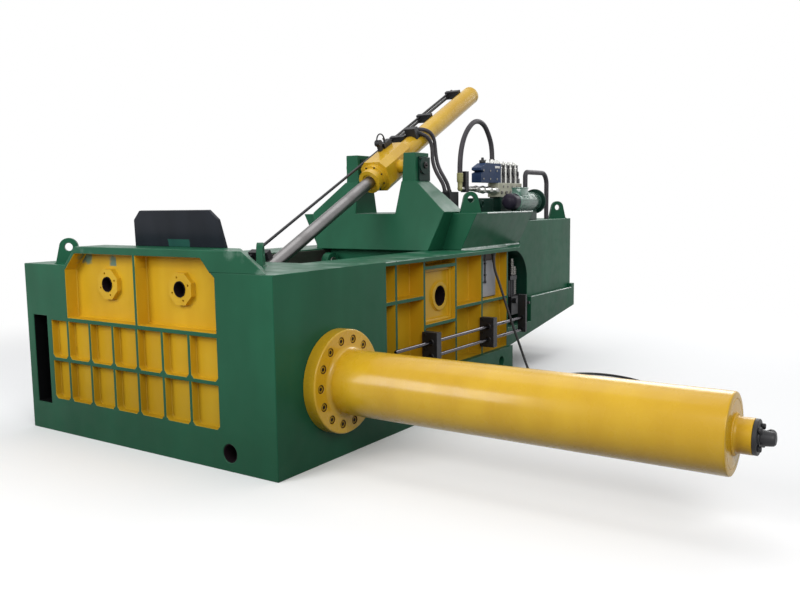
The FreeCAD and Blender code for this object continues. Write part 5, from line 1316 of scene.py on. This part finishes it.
@dataclass
class Hose:
    """A round hose on one smooth spline through a route's control points."""

    name: str
    route: Sequence[Point]
    radius: float
    finish: Finish = Finish.RUBBER

    def spline(self, name: str, bevel: float) -> bpy.types.Object:
        """A curve object with the route's spline, not yet in the scene.

        Args:
            name: The curve's name.
            bevel: The radius of its round section, or 0 for a bare line.

        Returns:
            The curve object.
        """
        data = bpy.data.curves.new(name, "CURVE")
        data.dimensions = "3D"
        data.resolution_u = 10
        data.bevel_depth = bevel
        data.bevel_resolution = 5
        data.use_fill_caps = bevel > 0
        spline = data.splines.new("NURBS")
        spline.points.add(len(self.route) - 1)
        for point, place in zip(spline.points, self.route):
            point.co = (*place, 1.0)
        spline.order_u = 3
        spline.use_endpoint_u = True
        data.materials.append(material(self.finish))
        return bpy.data.objects.new(name, data)

    def meshed(self, name: str, bevel: float) -> bpy.types.Mesh:
        """The mesh of a spline that is itself removed.

        Args:
            name: The spline's name.
            bevel: The radius of its section.

        Returns:
            The mesh.
        """
        carrier = self.spline(name, bevel)
        data, mesh = carrier.data, bpy.data.meshes.new_from_object(carrier)
        bpy.data.objects.remove(carrier)
        bpy.data.curves.remove(data)
        return mesh

    def line(self) -> list[Point]:
        """The spline itself, for its length and for what follows it.

        Returns:
            Its points.
        """
        mesh = self.meshed(self.name + "_line", 0.0)
        points = [tuple(vert.co) for vert in mesh.vertices]
        bpy.data.meshes.remove(mesh)
        return points

    def length(self) -> float:
        """The length of the spline in metres."""
        points = [Vector(point) for point in self.line()]
        return sum((b - a).length for a, b in zip(points, points[1:]))

    def curve(self) -> bpy.types.Object:
        """Make the hose as a curve piece.

        Returns:
            The piece.
        """
        made = self.spline(self.name, self.radius)
        bpy.context.scene.collection.objects.link(made)
        return made

    def tube(self) -> bpy.types.Object:
        """Make the hose as a mesh piece.

        Returns:
            The piece.
        """
        mesh = self.meshed(self.name + "_round", self.radius)
        smooth(mesh, HOSE_SMOOTH)
        return shown(self.name, mesh)


@dataclass
class Hoses:
    """The large arched hose and the two hoses of the lid cylinder."""

    arch: Sequence[Pair] = (
        (2.744, 1.935), (2.744, 2.060), (2.796, 2.230), (2.896, 2.355), (3.044, 2.444), (3.212, 2.430),
        (3.324, 2.325), (3.395, 2.200), (3.395, 2.085))
    outer: Sequence[Point] = (
        (0.008, 2.630, 2.356), (0.060, 2.700, 2.366), (0.113, 2.768, 2.336), (0.130, 2.808, 2.274),
        (0.138, 2.812, 2.200), (0.157, 2.794, 2.118), (0.190, 2.762, 2.040), (0.240, 2.735, 1.961),
        (0.296, 2.722, 1.888), (0.334, 2.717, 1.828), (0.350, 2.713, 1.774))
    inner: Sequence[Point] = (
        (0.082, 2.645, 2.313), (0.104, 2.680, 2.302), (0.123, 2.712, 2.276), (0.136, 2.734, 2.238),
        (0.143, 2.745, 2.190), (0.150, 2.741, 2.130), (0.157, 2.728, 2.072), (0.188, 2.709, 1.998),
        (0.236, 2.687, 1.930), (0.292, 2.665, 1.868), (0.326, 2.652, 1.821), (0.339, 2.648, 1.774))

    def build(self) -> None:
        """Build the large hose, then the lid cylinder's, which run between it and the block on the top box."""
        hose = Hose("arched_hose", [(0.450, y, z) for y, z in self.arch], 0.024)
        made = hose.curve()
        enrol(made, "frame", ("pressure_hose",))
        hose.length()
        for name, route in (("outer_lid_hose", self.outer), ("inner_lid_hose", self.inner)):
            hose = Hose(name, route, 0.018)
            made = hose.tube()
            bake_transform(made)
            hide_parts("lid_hoses")
            LOG.info("%s bends between lid_cylinder and frame", made.name)
            hose.length()
            hose.line()


@dataclass
class FreeCable:
    """The control cable from the right wall over the floor to a coil, and its plug."""

    radius: float = 0.011
    floor: float = 0.0112
    centre: Pair = (2.055, 2.350)
    outer: float = 0.148
    step: float = 0.027
    turns: float = 3.5
    turn_points: int = 16
    climb: float = 0.0226
    exit: float = 0.110
    start: Sequence[Point] = (
        (1.005, 2.352, 1.185), (1.008, 2.358, 1.085), (1.032, 2.388, 0.985), (1.078, 2.404, 0.835),
        (1.126, 2.424, 0.662), (1.152, 2.492, 0.500), (1.164, 2.578, 0.350), (1.168, 2.700, 0.165),
        (1.172, 2.800, 0.050))
    ground: Sequence[Pair] = (
        (1.196, 2.925), (1.240, 3.080), (1.322, 3.245), (1.460, 3.380), (1.645, 3.424), (1.850, 3.386),
        (2.030, 3.290), (2.155, 3.130), (2.213, 2.950), (2.208, 2.760), (2.203, 2.590), (2.203, 2.372))

    def coil(self) -> list[Point]:
        """The coil, wound in on the floor, up a layer and out again.

        Returns:
            Its control points.
        """
        points: list[Point] = []
        inward = self.turns / 2 - 0.25
        for index in range(int(self.turns * self.turn_points) + 1):
            turn = index / self.turn_points
            wound = min(turn, inward) if turn <= inward + 0.5 else self.turns - turn
            height = self.climb * min(max((turn - inward) / 0.5, 0.0), 1.0)
            reach = (self.outer - self.step * wound) / math.cos(math.pi / self.turn_points) ** 0.5
            angle = -2 * math.pi * turn
            points.append((self.centre[0] + reach * math.cos(angle), self.centre[1] + reach * math.sin(angle),
                           self.floor + height))
        return points

    def build(self) -> None:
        """Build the cable, its gland and its plug."""
        coil = self.coil()
        x, y, z = coil[-1]
        tail = [(x, y + self.exit / 2, z), (x, y + self.exit, z)]
        route = [*self.start, *((a, b, self.floor) for a, b in self.ground), *coil, *tail]
        hose = Hose("control_lead", route, self.radius, Finish.CABLE)
        made = hose.curve()
        plug = self.plug(tail[-1])
        enrol(made, "frame", ("control_cable", "cable_coil"))
        self.gland()
        hose.length()

    def gland(self) -> None:
        """The hex gland under the flange and its tapered rubber boot."""
        x, y, z = self.start[0]
        bore = self.radius + 0.0003
        form = Form().bar(6, 0.022, 0.018, (x, y, z + 0.017), bevel=0.002)
        form.turned([(0.016, 0.0), (0.016, 0.016)], (x, y, z + 0.001))
        boot = [(bore, -0.050), (self.radius + 0.0016, -0.050), (self.radius + 0.0040, -0.020),
                (self.radius + 0.0046, 0.004), (bore, 0.004)]
        ahead = (Vector(self.start[1]) - Vector(self.start[0])).normalized()
        form.turned(boot, (x, y, z), ring=True, turn=heading(-ahead))
        form.piece("gland_and_boot", Finish.BLACK, Slot.BLACK, "cable_gland")

    def plug(self, at: Point) -> bpy.types.Object:
        """The round plug with a ribbed grip, a flange and a skirt round its pins.

        Args:
            at: The cable's end.

        Returns:
            The plug.
        """
        ribs = [pair for low in (0.018 + 0.007 * index for index in range(9))
                for pair in ((0.0300, low), (0.0300, low + 0.004), (0.0285, low + 0.005), (0.0285, low + 0.006))]
        grip = [(0.0, -0.030), (0.0125, -0.030), (0.0150, -0.004), (0.0198, 0.0), (0.0198, 0.012), (0.0290, 0.016),
                *ribs, (0.0300, 0.083), (0.0330, 0.085), (0.0330, 0.093), (0.0290, 0.096), (0.0290, 0.140),
                (0.0265, 0.140), (0.0265, 0.104)]
        form = Form().turned(grip[1:], at, Along.Y, 36)
        for a, b in around(4, 0.014, math.pi / 4):
            form.bar(12, 0.003, 0.028, (at[0] + a, at[1] + 0.103, at[2] + b), Along.Y, 0.0008)
        return form.piece("cable_end_plug", Finish.BLACK, Slot.BLACK, "cable_plug")


@dataclass
class Studio:
    """The camera, the pale floor, the white surroundings and the soft lamps."""

    position: Point = (4.3238, -4.0614, 1.6532)
    yaw: float = 0.59152
    pitch: float = 0.11636
    roll: float = -0.01316
    lens: float = 36.96
    sky: float = 0.42
    middle: Pair = (0.8, 1.2)
    lamps: Sequence[tuple[str, Point, Point, float, float]] = (
        ("key_lamp", (-2.5, -8.5, 5.2), (-0.2, 0.0, 1.1), 5.0, 560.0),
        ("fill_lamp", (7.5, -5.0, 6.0), (1.0, 0.5, 0.8), 5.0, 420.0),
        ("top_lamp", (0.5, 2.5, 9.0), (0.5, 2.0, 0.0), 7.0, 200.0),
        ("rear_lamp", (1.5, 9.5, 5.5), (0.5, 2.5, 1.2), 4.0, 260.0))

    def build(self) -> None:
        """Set up everything around the machine."""
        bpy.context.scene.view_settings.view_transform = "Standard"
        self.camera()
        self.floor()
        self.surroundings()
        for name, at, towards, size, watts in self.lamps:
            data = bpy.data.lights.new(name, "AREA")
            data.size, data.energy = size, watts
            made = shown(name, data)
            made.location = at
            made.rotation_euler = (Vector(towards) - Vector(at)).to_track_quat("-Z", "Y").to_euler()

    def camera(self) -> None:
        """The camera at the photograph's place and angle."""
        data = bpy.data.cameras.new("camera")
        data.lens, data.sensor_width, data.clip_end = self.lens, 36.0, 200.0
        made = shown("camera", data)
        level = math.cos(self.pitch)
        ahead = Vector((-math.sin(self.yaw) * level, math.cos(self.yaw) * level, -math.sin(self.pitch)))
        right = Vector((math.cos(self.yaw), math.sin(self.yaw), 0.0))
        up = right.cross(ahead)
        turned_right = right * math.cos(self.roll) + up * math.sin(self.roll)
        turned_up = up * math.cos(self.roll) - right * math.sin(self.roll)
        turn = Matrix((turned_right, turned_up, -ahead)).transposed().to_4x4()
        made.matrix_world = Matrix.Translation(self.position) @ turn
        bpy.context.scene.camera = made

    def floor(self) -> None:
        """The pale floor, a wide disc."""
        mesh = bmesh.new()
        bmesh.ops.create_circle(mesh, cap_ends=True, segments=96, radius=60.0)
        data = bpy.data.meshes.new("floor")
        mesh.to_mesh(data)
        mesh.free()
        data.materials.append(self.floor_finish())
        shown("floor", data)

    def floor_finish(self) -> bpy.types.Material:
        """Pale and matt near the machine, plain white further off, and dark to light that bounces.

        Returns:
            The material.
        """
        shader = Shader("pale_floor")
        seen = shader.seen()
        shader.surface(Base_Color=shader.blend(seen, (0.10, 0.11, 0.10), (0.93, 0.93, 0.93)), Roughness=0.9,
                       Specular_IOR_Level=0.1)
        across, deep, _ = shader.axes()
        x, y = self.middle
        away = ((across - x) * (across - x) + (deep - y) * (deep - y)).math("SQRT").ramp(4.2, 8.0)
        white = shader.node("Emission", {"Strength": 1.0})
        matt = Sock(shader, shader.principled.outputs[0])
        mixed = shader.node("MixShader", {0: away * seen, 1: matt, 2: white})
        shader.feed(shader.tree.nodes["Material Output"].inputs["Surface"], mixed)
        return shader.material

    def surroundings(self) -> None:
        """White to the camera and in reflections, and a plain level of light for the rest."""
        world = bpy.data.worlds.new("surroundings")
        bpy.context.scene.world = world
        world.use_nodes = True
        world.node_tree.nodes.clear()
        graph = Graph(world.node_tree)
        soft = graph.node("Background", {"Color": (0.95, 0.97, 1.0), "Strength": self.sky})
        white = graph.node("Background", {"Color": (1.0, 1.0, 1.0), "Strength": 1.0})
        mixed = graph.node("MixShader", {0: graph.seen(), 1: soft, 2: white})
        graph.feed(graph.tree.nodes.new("ShaderNodeOutputWorld").inputs["Surface"], mixed)


def main() -> None:
    """Build the studio and the machine, in order."""
    logging.basicConfig(level=logging.INFO, format="%(message)s")
    Studio().build()
    for group in (PressBox(), Housing(), LidGroup(), GateGroup(), SideCylinder(), LidCylinder(), TripGear(),
                  Hydraulics(), ServiceBay(), Hoses(), FreeCable()):
        LOG.info("building %s", type(group).__name__)
        group.build()


if __name__ == "__main__":
    main()
